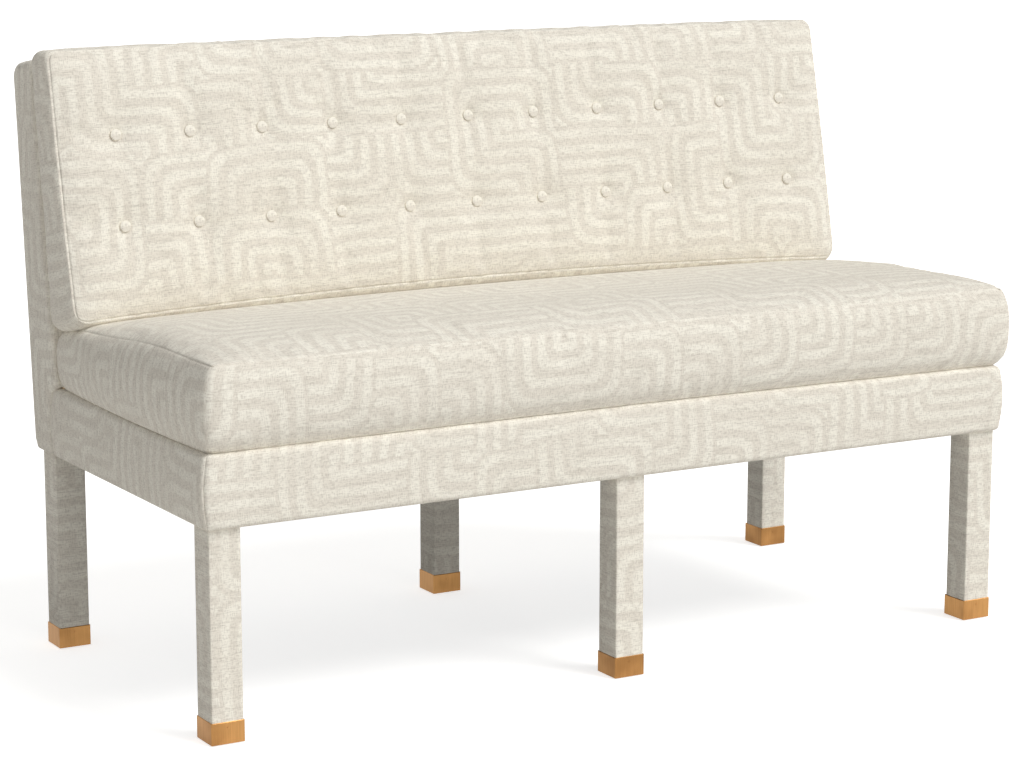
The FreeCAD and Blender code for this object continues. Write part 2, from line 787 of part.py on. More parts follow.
# Base band: three covers sewn at the front corners, over wadding
def band_form(inset, low_z, high_z, rear_y):
    """The base's outer form with its front corners rounded, moved inwards by an inset."""
    solid = box(
        (-half_width + inset, band_front + inset, low_z),
        (half_width - inset, rear_y, high_z))
    front = [
        e for e in solid.Edges
        if e.BoundBox.ZLength > base_height / 2 and e.BoundBox.YMax < 0
    ]
    return solid.makeFillet(band_corner - inset, front)


def lower_outline(solid, low_z):
    """The edges round the bottom of a band form, apart from the rear one."""
    return [
        e for e in solid.Edges
        if e.BoundBox.ZMax < low_z + hole_gap and e.BoundBox.YMin < side_band_end - hole_gap
    ]


band_outer = band_form(0, base_bottom, base_top, side_band_end)
band_outer = band_outer.makeFillet(band_edge, lower_outline(band_outer, base_bottom))
band_inner = band_form(cloth, base_bottom + cloth, base_top + overrun, side_band_end + overrun)
band_inner = band_inner.makeFillet(band_edge - cloth, lower_outline(band_inner, base_bottom + cloth))
band_fold_mouth = box(
    (-half_width + band_fold, band_front + band_fold, base_bottom - overrun),
    (half_width - band_fold, side_band_end + overrun, base_top + overrun))
band = band_outer.cut(band_inner).cut(band_fold_mouth).cut(leg_sockets)


def corner_slit(side):
    """The thin upright cut, at 45 degrees, that parts two covers at a front corner."""
    reach = band_fold * 2
    slit = box((-reach, -seam_gap / 2, base_bottom - overrun), (reach, seam_gap / 2, base_top + overrun))
    slit.rotate(Vector(0, 0, 0), Vector(0, 0, 1), side * -45 + 180)
    slit.translate(Vector(side * half_width, band_front, 0))
    return slit


band_pieces = band.cut(corner_slit(-1)).cut(corner_slit(1)).Solids
band_covers = {}
for piece in band_pieces:
    middle_x = piece.CenterOfMass.x
    column = "front" if abs(middle_x) < half_width / 2 else ("left" if middle_x < 0 else "right")
    band_covers[column + "_band_cover"] = piece

wadding_top = base_top - cloth
front_wadding = box(
    (-rail_outer_x, band_front + cloth + fit_gap, rail_bottom + band_edge),
    (rail_outer_x, rail_front_y - fit_gap, wadding_top))
side_wadding = box(
    (rail_outer_x + fit_gap, rail_front_y, rail_bottom + band_edge),
    (half_width - cloth - fit_gap, side_band_end - fit_gap, wadding_top))


# Covers, wadding and board of the back
def back_form(inset, front_shift):
    """The back frame's outer form, moved inwards by an inset, with its rear edges rounded."""
    low = base_bottom + inset
    high = back_top - inset
    points = [
        (back_front(low) - front_shift, low),
        (back_front(high) - front_shift, high),
        (back_rear(high) - inset, high),
        (back_rear(low) - inset, low),
    ]
    solid = side_prism(points, -half_width + inset, half_width - inset)

    def long_edges(z):
        return [
            e for e in solid.Edges
            if e.BoundBox.XLength > half_width
            and abs(e.CenterOfMass.z - z) < fit_gap
            and e.CenterOfMass.y > back_front(z) + panel_thickness
        ]

    solid = solid.makeFillet(back_top_round - inset, long_edges(high))
    solid = solid.makeFillet(back_bottom_round - inset, long_edges(low))
    return solid.makeFillet(back_side_round - inset, [
        e for e in solid.Edges
        if e.BoundBox.XLength < hole_gap
        and e.CenterOfMass.y > back_front(e.CenterOfMass.z) + overrun
        and e.CenterOfMass.z > low + overrun / 2
    ])


back_outer = back_form(0, 0)
back_inner = back_form(cloth, overrun)
back_shell = back_outer.cut(back_inner)
band_notch = box(
    (-base_width, -overall_depth, 0),
    (base_width, side_band_end + seam_gap, base_top + fit_gap))
fold_mouth = box(
    (-half_width + band_fold, side_band_end, base_bottom - overrun),
    (half_width - band_fold, back_rear_bottom - band_fold, base_bottom + band_fold))
back_shell = back_shell.cut(band_notch).cut(fold_mouth).cut(leg_sockets)


def rear_slab(depth, half_x):
    """The part of the back within a depth of its rear face."""
    return side_prism(
        [
            (back_rear(0) - depth, 0),
            (back_rear(overall_height) - depth, overall_height),
            (back_rear(overall_height) + overrun, overall_height),
            (back_rear(0) + overrun, 0),
        ],
        -half_x, half_x,
    ).cut(box(
        (-base_width, 0, back_top - back_top_round),
        (base_width, overall_depth, overall_height)))


back_seam_x = half_width - back_side_round - cloth
outside_back_cover = back_shell.common(rear_slab(band_fold, back_seam_x))
back_band = back_shell.cut(rear_slab(band_fold + seam_gap, back_seam_x + seam_gap))
top_zone = box((-back_seam_x, 0, base_top), (back_seam_x, overall_depth, overall_height))
back_top_cover = back_band.common(top_zone)
side_zone = box(
    (back_seam_x + seam_gap, 0, 0), (base_width, overall_depth, overall_height))
right_back_side_cover = back_band.common(side_zone)
left_back_side_cover = mirrored(right_back_side_cover)

wadding_form = back_form(cloth + fit_gap, 0).cut(band_notch)
back_side_wadding = wadding_form.common(box(
    (rail_outer_x + fit_gap, 0, rail_bottom + band_edge),
    (half_width, overall_depth, overall_height)))
back_top_wadding = wadding_form.common(box(
    (-rail_outer_x, 0, wood_top + fit_gap),
    (rail_outer_x, overall_depth, overall_height)))
liner_low = base_bottom + back_bottom_round
liner_high = back_top - back_top_round
back_liner_board = side_prism(
    [
        (back_rear(liner_low) - wood_rear_setback, liner_low),
        (back_rear(liner_high) - wood_rear_setback, liner_high),
        (back_rear(liner_high) - cloth - fit_gap, liner_high),
        (back_rear(liner_low) - cloth - fit_gap, liner_low),
    ],
    -rail_outer_x, rail_outer_x)

dust_edge = band_edge + cloth * 2
dust_cover = box(
    (-half_width + dust_edge, band_front + dust_edge, base_bottom - dust_cloth - fit_gap),
    (half_width - dust_edge, back_rear_bottom - dust_edge, base_bottom - fit_gap)).cut(leg_sockets)


# Write every piece
for name, leg in legs.items():
    save(name, drilled(leg, drillings))
for name, rail in rails.items():
    save(name, drilled(rail, drillings))
save("back_top_rail", drilled(top_rail, drillings))
save("back_lower_rail", drilled(lower_rail, drillings))
for name, upright in uprights.items():
    save(name, drilled(upright, drillings))
save_group("corner_blocks", [drilled(block, drillings) for block in corner_blocks])
save_group("frame_screws", screws)
save_group("frame_dowels", dowels)
save_group("rear_leg_bolts", leg_bolts)
save_group("seat_springs", springs)
save_group("spring_clips", clips)
save("seat_insulator", seat_insulator)
save("seat_foam", seat_foam)
save("seat_cover", seat_cover)
save("back_panel", back_panel)
save("back_pad_foam", back_pad_foam)
save("back_pad_cover", back_pad_cover)
save_group("back_buttons", buttons)
save_group("button_ties", ties)
save_group("button_anchors", anchors)
for name, cover in band_covers.items():
    save(name, cover)
save("front_band_wadding", front_wadding)
save_group("side_band_wadding", [side_wadding, mirrored(side_wadding)])
save("left_back_side_cover", left_back_side_cover)
save("right_back_side_cover", right_back_side_cover)
save("back_top_cover", back_top_cover)
save("outside_back_cover", outside_back_cover)
save_group("back_side_wadding", [back_side_wadding, mirrored(back_side_wadding)])
save("back_top_wadding", back_top_wadding)
save("back_liner_board", back_liner_board)
save("dust_cover", dust_cover)
for name, sleeve in sleeves.items():
    save(name, sleeve)
for name, ferrule in ferrules.items():
    save(name, ferrule)
save_group("ferrule_pins", pins)
save_group("leg_glides", glides)
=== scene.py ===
import math

import bpy
import numpy as np
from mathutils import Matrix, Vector


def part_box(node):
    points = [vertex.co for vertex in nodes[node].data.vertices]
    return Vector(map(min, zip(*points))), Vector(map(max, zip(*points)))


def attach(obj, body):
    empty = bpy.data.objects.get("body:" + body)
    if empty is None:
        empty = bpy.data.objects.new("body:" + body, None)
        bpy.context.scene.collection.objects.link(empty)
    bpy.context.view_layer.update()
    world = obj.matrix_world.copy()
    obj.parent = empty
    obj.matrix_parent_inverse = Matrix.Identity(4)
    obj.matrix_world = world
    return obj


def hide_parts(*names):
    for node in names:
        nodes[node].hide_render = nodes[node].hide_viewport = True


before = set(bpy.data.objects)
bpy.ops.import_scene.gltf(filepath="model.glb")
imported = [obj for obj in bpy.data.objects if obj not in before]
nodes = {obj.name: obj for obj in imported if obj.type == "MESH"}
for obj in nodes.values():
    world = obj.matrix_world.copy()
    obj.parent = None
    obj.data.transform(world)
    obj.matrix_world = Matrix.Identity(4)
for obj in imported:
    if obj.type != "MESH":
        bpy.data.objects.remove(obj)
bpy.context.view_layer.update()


# Hardwood frame: legs, rear posts, rails and corner blocks. Planed beech, left unfinished
# because cloth hides all of it; the parts are dowelled, glued and screwed together.
hardwood_pieces = (
    "front_left_leg", "front_centre_leg", "front_right_leg", "rear_centre_leg",
    "rear_left_leg_post", "rear_right_leg_post", "front_left_rail", "front_right_rail",
    "left_side_rail", "right_side_rail", "rear_seat_rail", "centre_cross_rail",
    "back_lower_rail", "back_top_rail", "back_left_upright", "back_right_upright",
    "corner_blocks", "frame_dowels",
)


def srgb(red, green, blue):
    """A colour given as it looks on screen, 0 to 255, as linear RGBA."""
    def linear(value):
        share = value / 255
        return share / 12.92 if share <= 0.04045 else ((share + 0.055) / 1.055) ** 2.4

    return (linear(red), linear(green), linear(blue), 1.0)


def add_node(tree, kind, sockets=None, **settings):
    """One node; sockets maps an input's name or number to a value or to a link."""
    node = tree.nodes.new(kind)
    for key, value in settings.items():
        setattr(node, key, value)
    for key, value in (sockets or {}).items():
        if isinstance(value, bpy.types.NodeSocket):
            tree.links.new(value, node.inputs[key])
        else:
            node.inputs[key].default_value = value
    return node


def calculate(tree, operation, first, second=0.0):
    """The result of one sum on two numbers or links."""
    return add_node(tree, "ShaderNodeMath", {0: first, 1: second}, operation=operation).outputs[0]


def ramp_between(tree, value, low, high, to_low=0.0, to_high=1.0):
    """A smooth step of a value from one level to another."""
    node = add_node(
        tree, "ShaderNodeMapRange", {0: value, 1: low, 2: high, 3: to_low, 4: to_high},
        interpolation_type="SMOOTHSTEP")
    return node.outputs[0]


def mix_colours(tree, share, first, second, blend="MIX"):
    """A blend of two colours, by a share."""
    node = add_node(
        tree, "ShaderNodeMix", {0: share, 6: first, 7: second}, data_type="RGBA", blend_type=blend)
    return node.outputs[2]


def stretched_noise(tree, place, stretch, detail=2.0):
    """Noise whose grain has its own length along each axis."""
    longer = add_node(tree, "ShaderNodeVectorMath", {0: place, 1: stretch}, operation="MULTIPLY")
    noise = add_node(
        tree, "ShaderNodeTexNoise", {"Vector": longer.outputs[0], "Scale": 1.0, "Detail": detail})
    return noise.outputs[0]


def new_material(name, roughness, metallic=0.0):
    """A material with its tree, shader and object coordinates."""
    material = bpy.data.materials.new(name)
    material.use_nodes = True
    tree = material.node_tree
    shader = tree.nodes["Principled BSDF"]
    shader.inputs["Roughness"].default_value = roughness
    shader.inputs["Metallic"].default_value = metallic
    place = add_node(tree, "ShaderNodeTexCoord").outputs["Object"]
    return material, tree, shader, place


def add_bump(tree, shader, height, depth, strength=1.0):
    """Fine relief under a shader's light, from a height between 0 and 1."""
    bump = add_node(
        tree, "ShaderNodeBump", {"Height": height, "Distance": depth, "Strength": strength})
    tree.links.new(bump.outputs[0], shader.inputs["Normal"])


def wood_material(name, early, late, grain_length, ring_pitch):
    """Planed wood: growth rings seen on the side, with fine pores along the grain."""
    material, tree, shader, place = new_material(name, 0.62)
    rings = stretched_noise(tree, place, (1 / grain_length, 1 / ring_pitch, 1 / grain_length), 3.0)
    pores = stretched_noise(tree, place, (8 / grain_length, 9 / ring_pitch, 8 / grain_length), 1.0)
    bands = ramp_between(tree, rings, 0.38, 0.62)
    figure = mix_colours(tree, bands, early, late)
    speckle = ramp_between(tree, pores, 0.56, 0.72)
    shade = mix_colours(tree, speckle, figure, late, "MULTIPLY")
    tree.links.new(shade, shader.inputs["Base Color"])
    add_bump(tree, shader, calculate(tree, "ADD", bands, pores), 0.0002, 0.5)
    return material


def finish_nodes(names, material):
    """Gives carried-over solids their finish."""
    for name in names:
        nodes[name].data.materials.clear()
        nodes[name].data.materials.append(material)


beech = wood_material("planed_beech", srgb(206, 172, 128), srgb(182, 142, 98), 0.09, 0.006)
finish_nodes(hardwood_pieces, beech)


# Plywood panel that carries the back pad, and the grey board stapled behind the frame.
# The panel is birch plywood, drilled for the button ties; the board is pressed paper.
plywood = wood_material("birch_plywood", srgb(214, 188, 148), srgb(196, 164, 120), 0.16, 0.012)
finish_nodes(("back_panel",), plywood)


def speckled_material(name, base, fleck, roughness, fleck_size, depth):
    """A matt material with small flecks, such as board, felt or foam."""
    material, tree, shader, place = new_material(name, roughness)
    flecks = stretched_noise(tree, place, (1 / fleck_size,) * 3, 3.0)
    cloud = stretched_noise(tree, place, (0.05 / fleck_size,) * 3, 1.0)
    share = calculate(tree, "MULTIPLY", ramp_between(tree, flecks, 0.4, 0.66), 0.7)
    colour = mix_colours(tree, share, base, fleck)
    colour = mix_colours(tree, calculate(tree, "MULTIPLY", cloud, 0.25), colour, fleck)
    tree.links.new(colour, shader.inputs["Base Color"])
    add_bump(tree, shader, flecks, depth, 0.8)
    return material


liner = speckled_material(
    "grey_liner_board", srgb(158, 150, 138), srgb(122, 114, 104), 0.85, 0.0012, 0.0002)
finish_nodes(("back_liner_board",), liner)


# Fasteners: zinc-plated screws in the corner blocks and top rail, and the two bolts that
# hold the middle rear leg to the rear rail.
def metal_material(name, bright, dull, roughness, streak, depth, patchiness=60.0):
    """Metal with fine streaks and a few duller patches."""
    material, tree, shader, place = new_material(name, roughness, 1.0)
    fine = stretched_noise(tree, place, streak, 2.0)
    patches = stretched_noise(tree, place, (patchiness,) * 3, 3.0)
    dullness = ramp_between(tree, patches, 0.42, 0.72, 0.0, 0.75)
    colour = mix_colours(tree, dullness, bright, dull)
    colour = mix_colours(tree, ramp_between(tree, fine, 0.3, 0.75, 0.0, 0.35), colour, dull)
    tree.links.new(colour, shader.inputs["Base Color"])
    rough = ramp_between(tree, calculate(tree, "ADD", fine, dullness), 0.3, 1.3, roughness, roughness + 0.2)
    tree.links.new(rough, shader.inputs["Roughness"])
    add_bump(tree, shader, fine, depth, 0.5)
    return material


zinc = metal_material(
    "zinc_plate", srgb(206, 208, 206), srgb(150, 152, 150), 0.28, (900.0, 900.0, 900.0), 0.00005)
finish_nodes(("frame_screws", "rear_leg_bolts"), zinc)


# Sinuous springs: ten bent steel wires that run from the front rail to the rear rail, each
# held at both ends by a steel clip.
oiled_steel = metal_material(
    "oiled_spring_steel", srgb(112, 112, 110), srgb(62, 60, 58), 0.34, (500.0, 40.0, 500.0), 0.00004)
finish_nodes(("seat_springs", "spring_clips"), oiled_steel)


# Fillings: felt over the springs, polyether foam in the seat and the pad, and polyester
# wadding round the wood. Cloth hides all of them.
felt = speckled_material("grey_felt", srgb(132, 128, 122), srgb(84, 84, 92), 0.95, 0.0016, 0.0006)
foam = speckled_material("cream_foam", srgb(236, 222, 180), srgb(206, 188, 142), 0.9, 0.0011, 0.0004)
wadding = speckled_material("white_wadding", srgb(240, 240, 236), srgb(214, 214, 210), 0.95, 0.004, 0.0012)
finish_nodes(("seat_insulator",), felt)
finish_nodes(("seat_foam", "back_pad_foam"), foam)
finish_nodes(("front_band_wadding", "side_band_wadding", "back_side_wadding", "back_top_wadding"), wadding)


# Legs' cloth: each square leg is wrapped in the upholstery cloth, an ivory two-tone jacquard
# with a soft maze figure, closed with a hand-sewn seam at the leg's inner rear edge.
figure_repeat = 0.092          # one tile of the maze
figure_strands = 4.0           # pale lines across a tile
figure_squareness = 7.0        # 2 would give round bends
figure_straights = 0.84        # tiles above this chance run straight across
figure_wander = 0.011          # how far the lines stray from true
figure_strays = ((6.0, 1, 1.5), (45.0, 1 / 4, 1.0), (520.0, 1 / 6, 1.0))  # how finely, how much, how rough
thread_pitch = 0.0014
pale_yarn = srgb(252, 248, 236)
sand_yarn = srgb(238, 232, 220)
# Dark colour shared by the slub streaks, which are darker yarn, and by the painted shade in the weave's low
# places.
slub_yarn_and_painted_shade = srgb(180, 172, 160)


def corner_distance(tree, across, along):
    """Distance from a tile's corner, measured so that equal distances make a rounded square."""
    total = calculate(
        tree, "ADD",
        calculate(tree, "POWER", across, figure_squareness),
        calculate(tree, "POWER", along, figure_squareness))
    return calculate(tree, "POWER", total, 1 / figure_squareness)


def chosen_between(tree, choice, first, second):
    """The second value where the choice is 1, the first where it is 0."""
    gap = calculate(tree, "SUBTRACT", second, first)
    return calculate(tree, "ADD", first, calculate(tree, "MULTIPLY", choice, gap))


def maze_figure(tree, place):
    """Distance from the nearest gap between lines: each tile bends its lines round a corner picked
    at random, or lets them run straight across."""
    tiled = add_node(
        tree, "ShaderNodeVectorMath", {0: place, 3: 1 / figure_repeat}, operation="SCALE").outputs[0]
    tile = add_node(tree, "ShaderNodeVectorMath", {0: tiled}, operation="FLOOR").outputs[0]
    inside = add_node(tree, "ShaderNodeVectorMath", {0: tiled, 1: tile}, operation="SUBTRACT").outputs[0]
    chance = add_node(tree, "ShaderNodeTexWhiteNoise", {"Vector": tile}, noise_dimensions="2D")
    chances = add_node(tree, "ShaderNodeSeparateXYZ", {0: chance.outputs["Color"]})
    inner = add_node(tree, "ShaderNodeSeparateXYZ", {0: inside})
    near = []
    for axis in range(2):
        turned = calculate(tree, "GREATER_THAN", chances.outputs[axis], 0.5)
        near.append(calculate(
            tree, "ABSOLUTE", calculate(tree, "SUBTRACT", turned, inner.outputs[axis])))
    far = [calculate(tree, "SUBTRACT", 1.0, share) for share in near]
    first = corner_distance(tree, near[0], near[1])
    second = corner_distance(tree, far[0], far[1])
    bend = chosen_between(tree, calculate(tree, "LESS_THAN", first, 1.0), second, first)
    straight = calculate(tree, "GREATER_THAN", chances.outputs[2], figure_straights)
    distance = chosen_between(tree, straight, bend, inner.outputs[1])
    phase = calculate(tree, "FRACT", calculate(tree, "MULTIPLY", distance, figure_strands))
    return calculate(tree, "ABSOLUTE", calculate(tree, "SUBTRACT", phase, 0.5))


def jacquard_material(name):
    """The upholstery cloth, drawn on each piece's own flat pattern in metres."""
    material, tree, shader = new_material(name, 0.92)[:3]
    flat = add_node(tree, "ShaderNodeUVMap", uv_map="cloth").outputs[0]
    place = flat
    for scale, share, detail in figure_strays:
        stray = add_node(tree, "ShaderNodeTexNoise", {"Vector": flat, "Scale": scale, "Detail": detail})
        centred = add_node(
            tree, "ShaderNodeVectorMath", {0: stray.outputs["Color"], 1: (0.5, 0.5, 0.5)},
            operation="SUBTRACT")
        reach = figure_wander * share * 2
        offset = add_node(
            tree, "ShaderNodeVectorMath", {0: centred.outputs[0], 3: reach}, operation="SCALE")
        place = add_node(
            tree, "ShaderNodeVectorMath", {0: place, 1: offset.outputs[0]}, operation="ADD").outputs[0]
    wave = maze_figure(tree, place)
    fade = stretched_noise(tree, flat, (9.0, 16.0, 1.0), 2.0)
    line = ramp_between(tree, wave, 0.34, 0.16)
    line = calculate(tree, "MULTIPLY", line, ramp_between(tree, fade, 0.30, 0.62, 0.45, 1.0))
    fine = 1 / thread_pitch
    weft = stretched_noise(tree, flat, (fine / 6, fine, 1.0), 2.0)
    warp = stretched_noise(tree, flat, (fine, fine / 5, 1.0), 2.0)
    slub = stretched_noise(tree, flat, (fine / 26, fine / 2.5, 1.0), 2.0)
    fleck = stretched_noise(tree, flat, (fine / 2.2, fine / 2.2, 1.0), 1.0)
    threads = calculate(tree, "ADD", weft, calculate(tree, "MULTIPLY", warp, 0.9))
    colour = mix_colours(tree, line, sand_yarn, pale_yarn)
    # Painted shade: where the threads' relief is low, between the threads, the colour is darkened towards
    # the dark yarn.
    painted_weave_shade = ramp_between(tree, threads, 1.08, 0.70, 0.0, 0.46)
    colour = mix_colours(tree, painted_weave_shade, colour, slub_yarn_and_painted_shade)
    streak = ramp_between(tree, slub, 0.50, 0.72, 0.0, 0.26)
    colour = mix_colours(tree, streak, colour, slub_yarn_and_painted_shade)
    colour = mix_colours(tree, ramp_between(tree, fleck, 0.5, 0.75, 0.0, 0.35), colour, pale_yarn)
    tree.links.new(colour, shader.inputs["Base Color"])
    shader.inputs["Specular IOR Level"].default_value = 0.12
    shader.inputs["Sheen Weight"].default_value = 0.10
    shader.inputs["Sheen Roughness"].default_value = 0.5
    relief = calculate(tree, "ADD", threads, calculate(tree, "MULTIPLY", line, 0.6))
    add_bump(tree, shader, relief, 0.0005, 0.5)
    return material


jacquard = jacquard_material("ivory_maze_jacquard")


def cell_corners(table, turned=False):
    """What a table holds at the four corners of each of its cells, in the order of a face."""
    corners = [table[:-1, :-1], table[1:, :-1], table[1:, 1:], table[:-1, 1:]]
    cells = np.stack([corner.reshape(-1, *table.shape[2:]) for corner in corners], axis=1)
    return cells[:, ::-1] if turned else cells


def cloth_mesh(name, points, quads, uv):
    """A smooth mesh with its flat pattern in metres, finished in the upholstery cloth."""
    mesh = bpy.data.meshes.new(name)
    mesh.from_pydata(points.tolist(), [], quads.tolist())
    layer = mesh.uv_layers.new(name="cloth")
    layer.data.foreach_set("uv", uv.reshape(-1))
    mesh.polygons.foreach_set("use_smooth", [True] * len(mesh.polygons))
    mesh.materials.append(jacquard)
    mesh.update()
    piece = bpy.data.objects.new(name, mesh)
    bpy.context.scene.collection.objects.link(piece)
    return piece


def cloth_grid(name, points, across, along, turned, closed=0):
    """A cloth over a table of points, with the flat pattern's place of each row and column; where it is
    closed, its last column lies on its first."""
    count = points.shape[1] - closed
    index = np.arange(points.shape[0] * count).reshape(-1, count)
    index = np.concatenate([index, index[:, :closed]], axis=1)
    return cloth_mesh(
        name, points[:, :count].reshape(-1, 3), cell_corners(index, turned),
        cell_corners(np.dstack([across, along]), turned))


def path_lengths(points):
    """Distance walked along a row of points."""
    steps = np.linalg.norm(np.diff(points, axis=0), axis=1)
    return np.concatenate([[0.0], np.cumsum(steps)])


def keep_result(piece):
    """Makes the evaluated mesh the piece's own and drops its modifiers."""
    graph = bpy.context.evaluated_depsgraph_get()
    made = bpy.data.meshes.new_from_object(piece.evaluated_get(graph))
    piece.modifiers.clear()
    old = piece.data
    piece.data = made
    bpy.data.meshes.remove(old)
    made.name = piece.name


def settle(piece, thickness=0.0):
    """Gives a piece its thickness, inwards, if it has one, and ties it to the bench."""
    if thickness:
        wall = piece.modifiers.new("thickness", "SOLIDIFY")
        wall.thickness = thickness
        wall.offset = -1.0
        wall.use_rim = True
        keep_result(piece)
    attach(piece, "root")


cloth_thickness = 0.0012
leg_edge_radius = 0.0017
leg_padding = 0.0006           # thin wadding under the cloth
leg_face_swell = 0.0003        # the cloth stands off the middle of each face
leg_ripple = 0.35              # how unevenly
leg_seam_depth = 0.0005
leg_seam_width = 0.0025
leg_row_pitch = 0.006
leg_tuck = 0.010               # how far the sleeve goes down into its brass foot


def square_ring(half, radius, per_corner=5, per_side=9):
    """Points round a square with rounded corners, from the middle of the inner rear edge."""
    quarter = np.linspace(0, math.pi / 2, per_corner)
    corner = (half - radius) * (1 + 1j) + radius * np.exp(1j * quarter)
    side = corner[-1] + (corner[0] * 1j - corner[-1]) * np.arange(1, per_side) / per_side
    ring = np.concatenate([np.append(corner, side) * 1j ** turn for turn in range(4)])
    ring = np.roll(ring, -(per_corner // 2))
    ring = np.append(ring, ring[0])
    return np.column_stack([ring.real, ring.imag])


def leg_sleeve(place, number):
    """One sewn sleeve over a leg, from inside its brass foot up to the base."""
    low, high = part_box(place + "_leg_cover")
    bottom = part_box(place + "_ferrule")[1].z - leg_tuck
    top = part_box("front_band_cover")[0].z
    middle = (low + high) / 2
    half = (high.x - low.x) / 2 + leg_padding
    ring = square_ring(half, leg_edge_radius)
    around = path_lengths(ring)
    heights = np.linspace(bottom, top, int((top - bottom) / leg_row_pitch))
    mirror = -1.0 if "right" in place else 1.0
    face = np.abs(ring).min(axis=1) / half
    from_seam = np.minimum(around, around[-1] - around)
    seam = leg_seam_depth * np.exp(-(from_seam / leg_seam_width) ** 2)
    up = heights[:, None]
    ripple = leg_ripple * (np.sin(up * 61 + number * 2.1 + around * 40) + np.sin(up * 23 + number))
    scale = 1 + (leg_face_swell * (1 - face ** 2) * (1 + ripple) - seam) / half
    points = np.dstack([
        middle.x + mirror * ring[:, 0] * scale, middle.y + ring[:, 1] * scale, up + 0 * scale])
    across, along = np.meshgrid(around + number * 0.31, heights + number * 0.17)
    piece = cloth_grid(place + "_leg_wrap", points, across, along, mirror > 0, closed=1)
    settle(piece, cloth_thickness)
    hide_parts(place + "_leg_cover")


leg_places = ("front_left", "front_centre", "front_right", "rear_left", "rear_centre", "rear_right")
for number, place in enumerate(leg_places):
    leg_sleeve(place, number)


# Brass feet: a square cap of folded sheet brass on each leg, brushed upright and aged, held by
# two small brass pins, over a nylon glide that is nailed under the leg.
brass = metal_material(
    "brushed_antique_brass", srgb(188, 141, 88), srgb(134, 96, 56), 0.34, (1500.0, 1500.0, 30.0), 0.00004,
    12.0)
finish_nodes([place + "_ferrule" for place in leg_places], brass)
finish_nodes(("ferrule_pins",), brass)
nylon = speckled_material("grey_nylon", srgb(196, 192, 184), srgb(176, 172, 164), 0.5, 0.002, 0.00003)
finish_nodes(("leg_glides",), nylon)


# Base band: one length of cloth over wadding round the front and sides of the base, sewn at
# the front corners, turned in below the seat and stapled under the rails.
band_corner_radius = 0.010
band_lower_radius = 0.0075
band_upper_radius = 0.0095
band_turn_in = 0.014           # top edge, turned in below the seat
band_under = 0.030             # lower edge, folded under the rails
band_end_fold = 0.010          # rear end of a side, folded in at the back
band_swells = (0.0012, 0.0042)  # at mid-height, of the front and of the sides
band_seam_depth = 0.0012
band_seam_width = 0.0022
band_pitch = 0.008
band_ripple = 0.0004
band_sag = 0.0048              # its padded lower edge hangs below the rails
corner_drops = (0.0025, 0.0040)    # how much lower it meets the seat at the left and right front corners


def arc(centre, radius, start, end, count):
    """Points along an arc between two angles, given in quarter turns."""
    turn = np.linspace(start, end, count) * math.pi / 2
    return np.column_stack([centre[0] + radius * np.cos(turn), centre[1] + radius * np.sin(turn)])


def resampled(points, stations):
    """Points of a polyline at shares of its length."""
    walked = path_lengths(points)
    wanted = np.asarray(stations) * walked[-1]
    return np.stack([np.interp(wanted, walked, points[:, axis]) for axis in range(points.shape[1])], axis=1)


def side_lines(half_x, low_y, high_y, corners, side_bow, end_bows, fine=200):
    """The four sides of a bowed outline with rounded corners, each from one corner's middle to the
    next; corners and end_bows hold the radius and the bow at the low end and at the high end."""
    low_middle, high_middle = low_y + corners[0], high_y - corners[1]
    ends = [(-1, corners[0], low_middle), (1, corners[0], low_middle),
            (1, corners[1], high_middle), (-1, corners[1], high_middle)]
    share = np.linspace(-1, 1, fine)
    bow = 1 - share ** 2
    up = (low_middle + high_middle) / 2 + share * (high_middle - low_middle) / 2
    beside = half_x + side_bow * bow
    straights = (
        (share * (half_x - corners[0]), low_y - end_bows[0] * bow), (beside, up),
        (-share * (half_x - corners[1]), high_y + end_bows[1] * bow), (-beside, up[::-1]))

    def half_corner(end, start):
        side, radius, middle_y = ends[end % 4]
        return arc((side * (half_x - radius), middle_y), radius, start, start + 0.5, fine // 4)

    return [
        np.concatenate([
            half_corner(side, 2.5 + side), np.column_stack(line)[1:-1], half_corner(side + 1, 3 + side)])
        for side, line in enumerate(straights)]


def corner_drop(x, y):
    """How much lower the joint of seat and band lies at a place than in the middle of the front."""
    low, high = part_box("left_band_cover")
    amount = np.where(np.asarray(x) < 0, *corner_drops)
    from_rear = np.clip((high.y - y) / (high.y - low.y), 0, 1)
    return amount * np.clip(np.abs(x) / -low.x, 0, 1) ** 1.5 * from_rear ** 2


def band_profile(low_z, high_z, swell):
    """Inset and height from the folded lower edge, up the face, to the edge turned in below the seat."""
    hem = low_z - band_sag + band_lower_radius
    lip = high_z - band_upper_radius
    count = int((lip - hem) / band_pitch)
    share = np.arange(1, count) / count
    fold = np.array([0.8, 0.6, 0.4])
    return np.concatenate([
        [(band_under, low_z)], np.column_stack([band_under * fold, low_z - band_sag * (1 - fold ** 2)]),
        arc((band_lower_radius, hem), band_lower_radius, -1, -2, 7),
        np.column_stack([-swell * np.sin(share * math.pi) ** 0.8, hem + (lip - hem) * share]),
        arc((band_upper_radius, lip), band_upper_radius, 2, 1, 6),
        [(band_upper_radius + band_turn_in * turned, high_z) for turned in (0.5, 1)]])


def edge_stations(length, pitch, close=(0.0012, 0.003, 0.006)):
    """Shares along a length, evenly spaced but closer at both ends, where the seams are."""
    ends = [distance / length for distance in close]
    count = max(2, int(length * (1 - 2 * ends[-1]) / pitch))
    middle = np.linspace(ends[-1], 1 - ends[-1], count)
    return np.concatenate([[0.0], ends[:-1], middle, [1 - share for share in ends[-2::-1]], [1.0]])


def seam_groove(distance, depth, width):
    """How deep a sewn seam draws the cloth in at a distance from it."""
    return depth * np.exp(-(distance / width) ** 2)


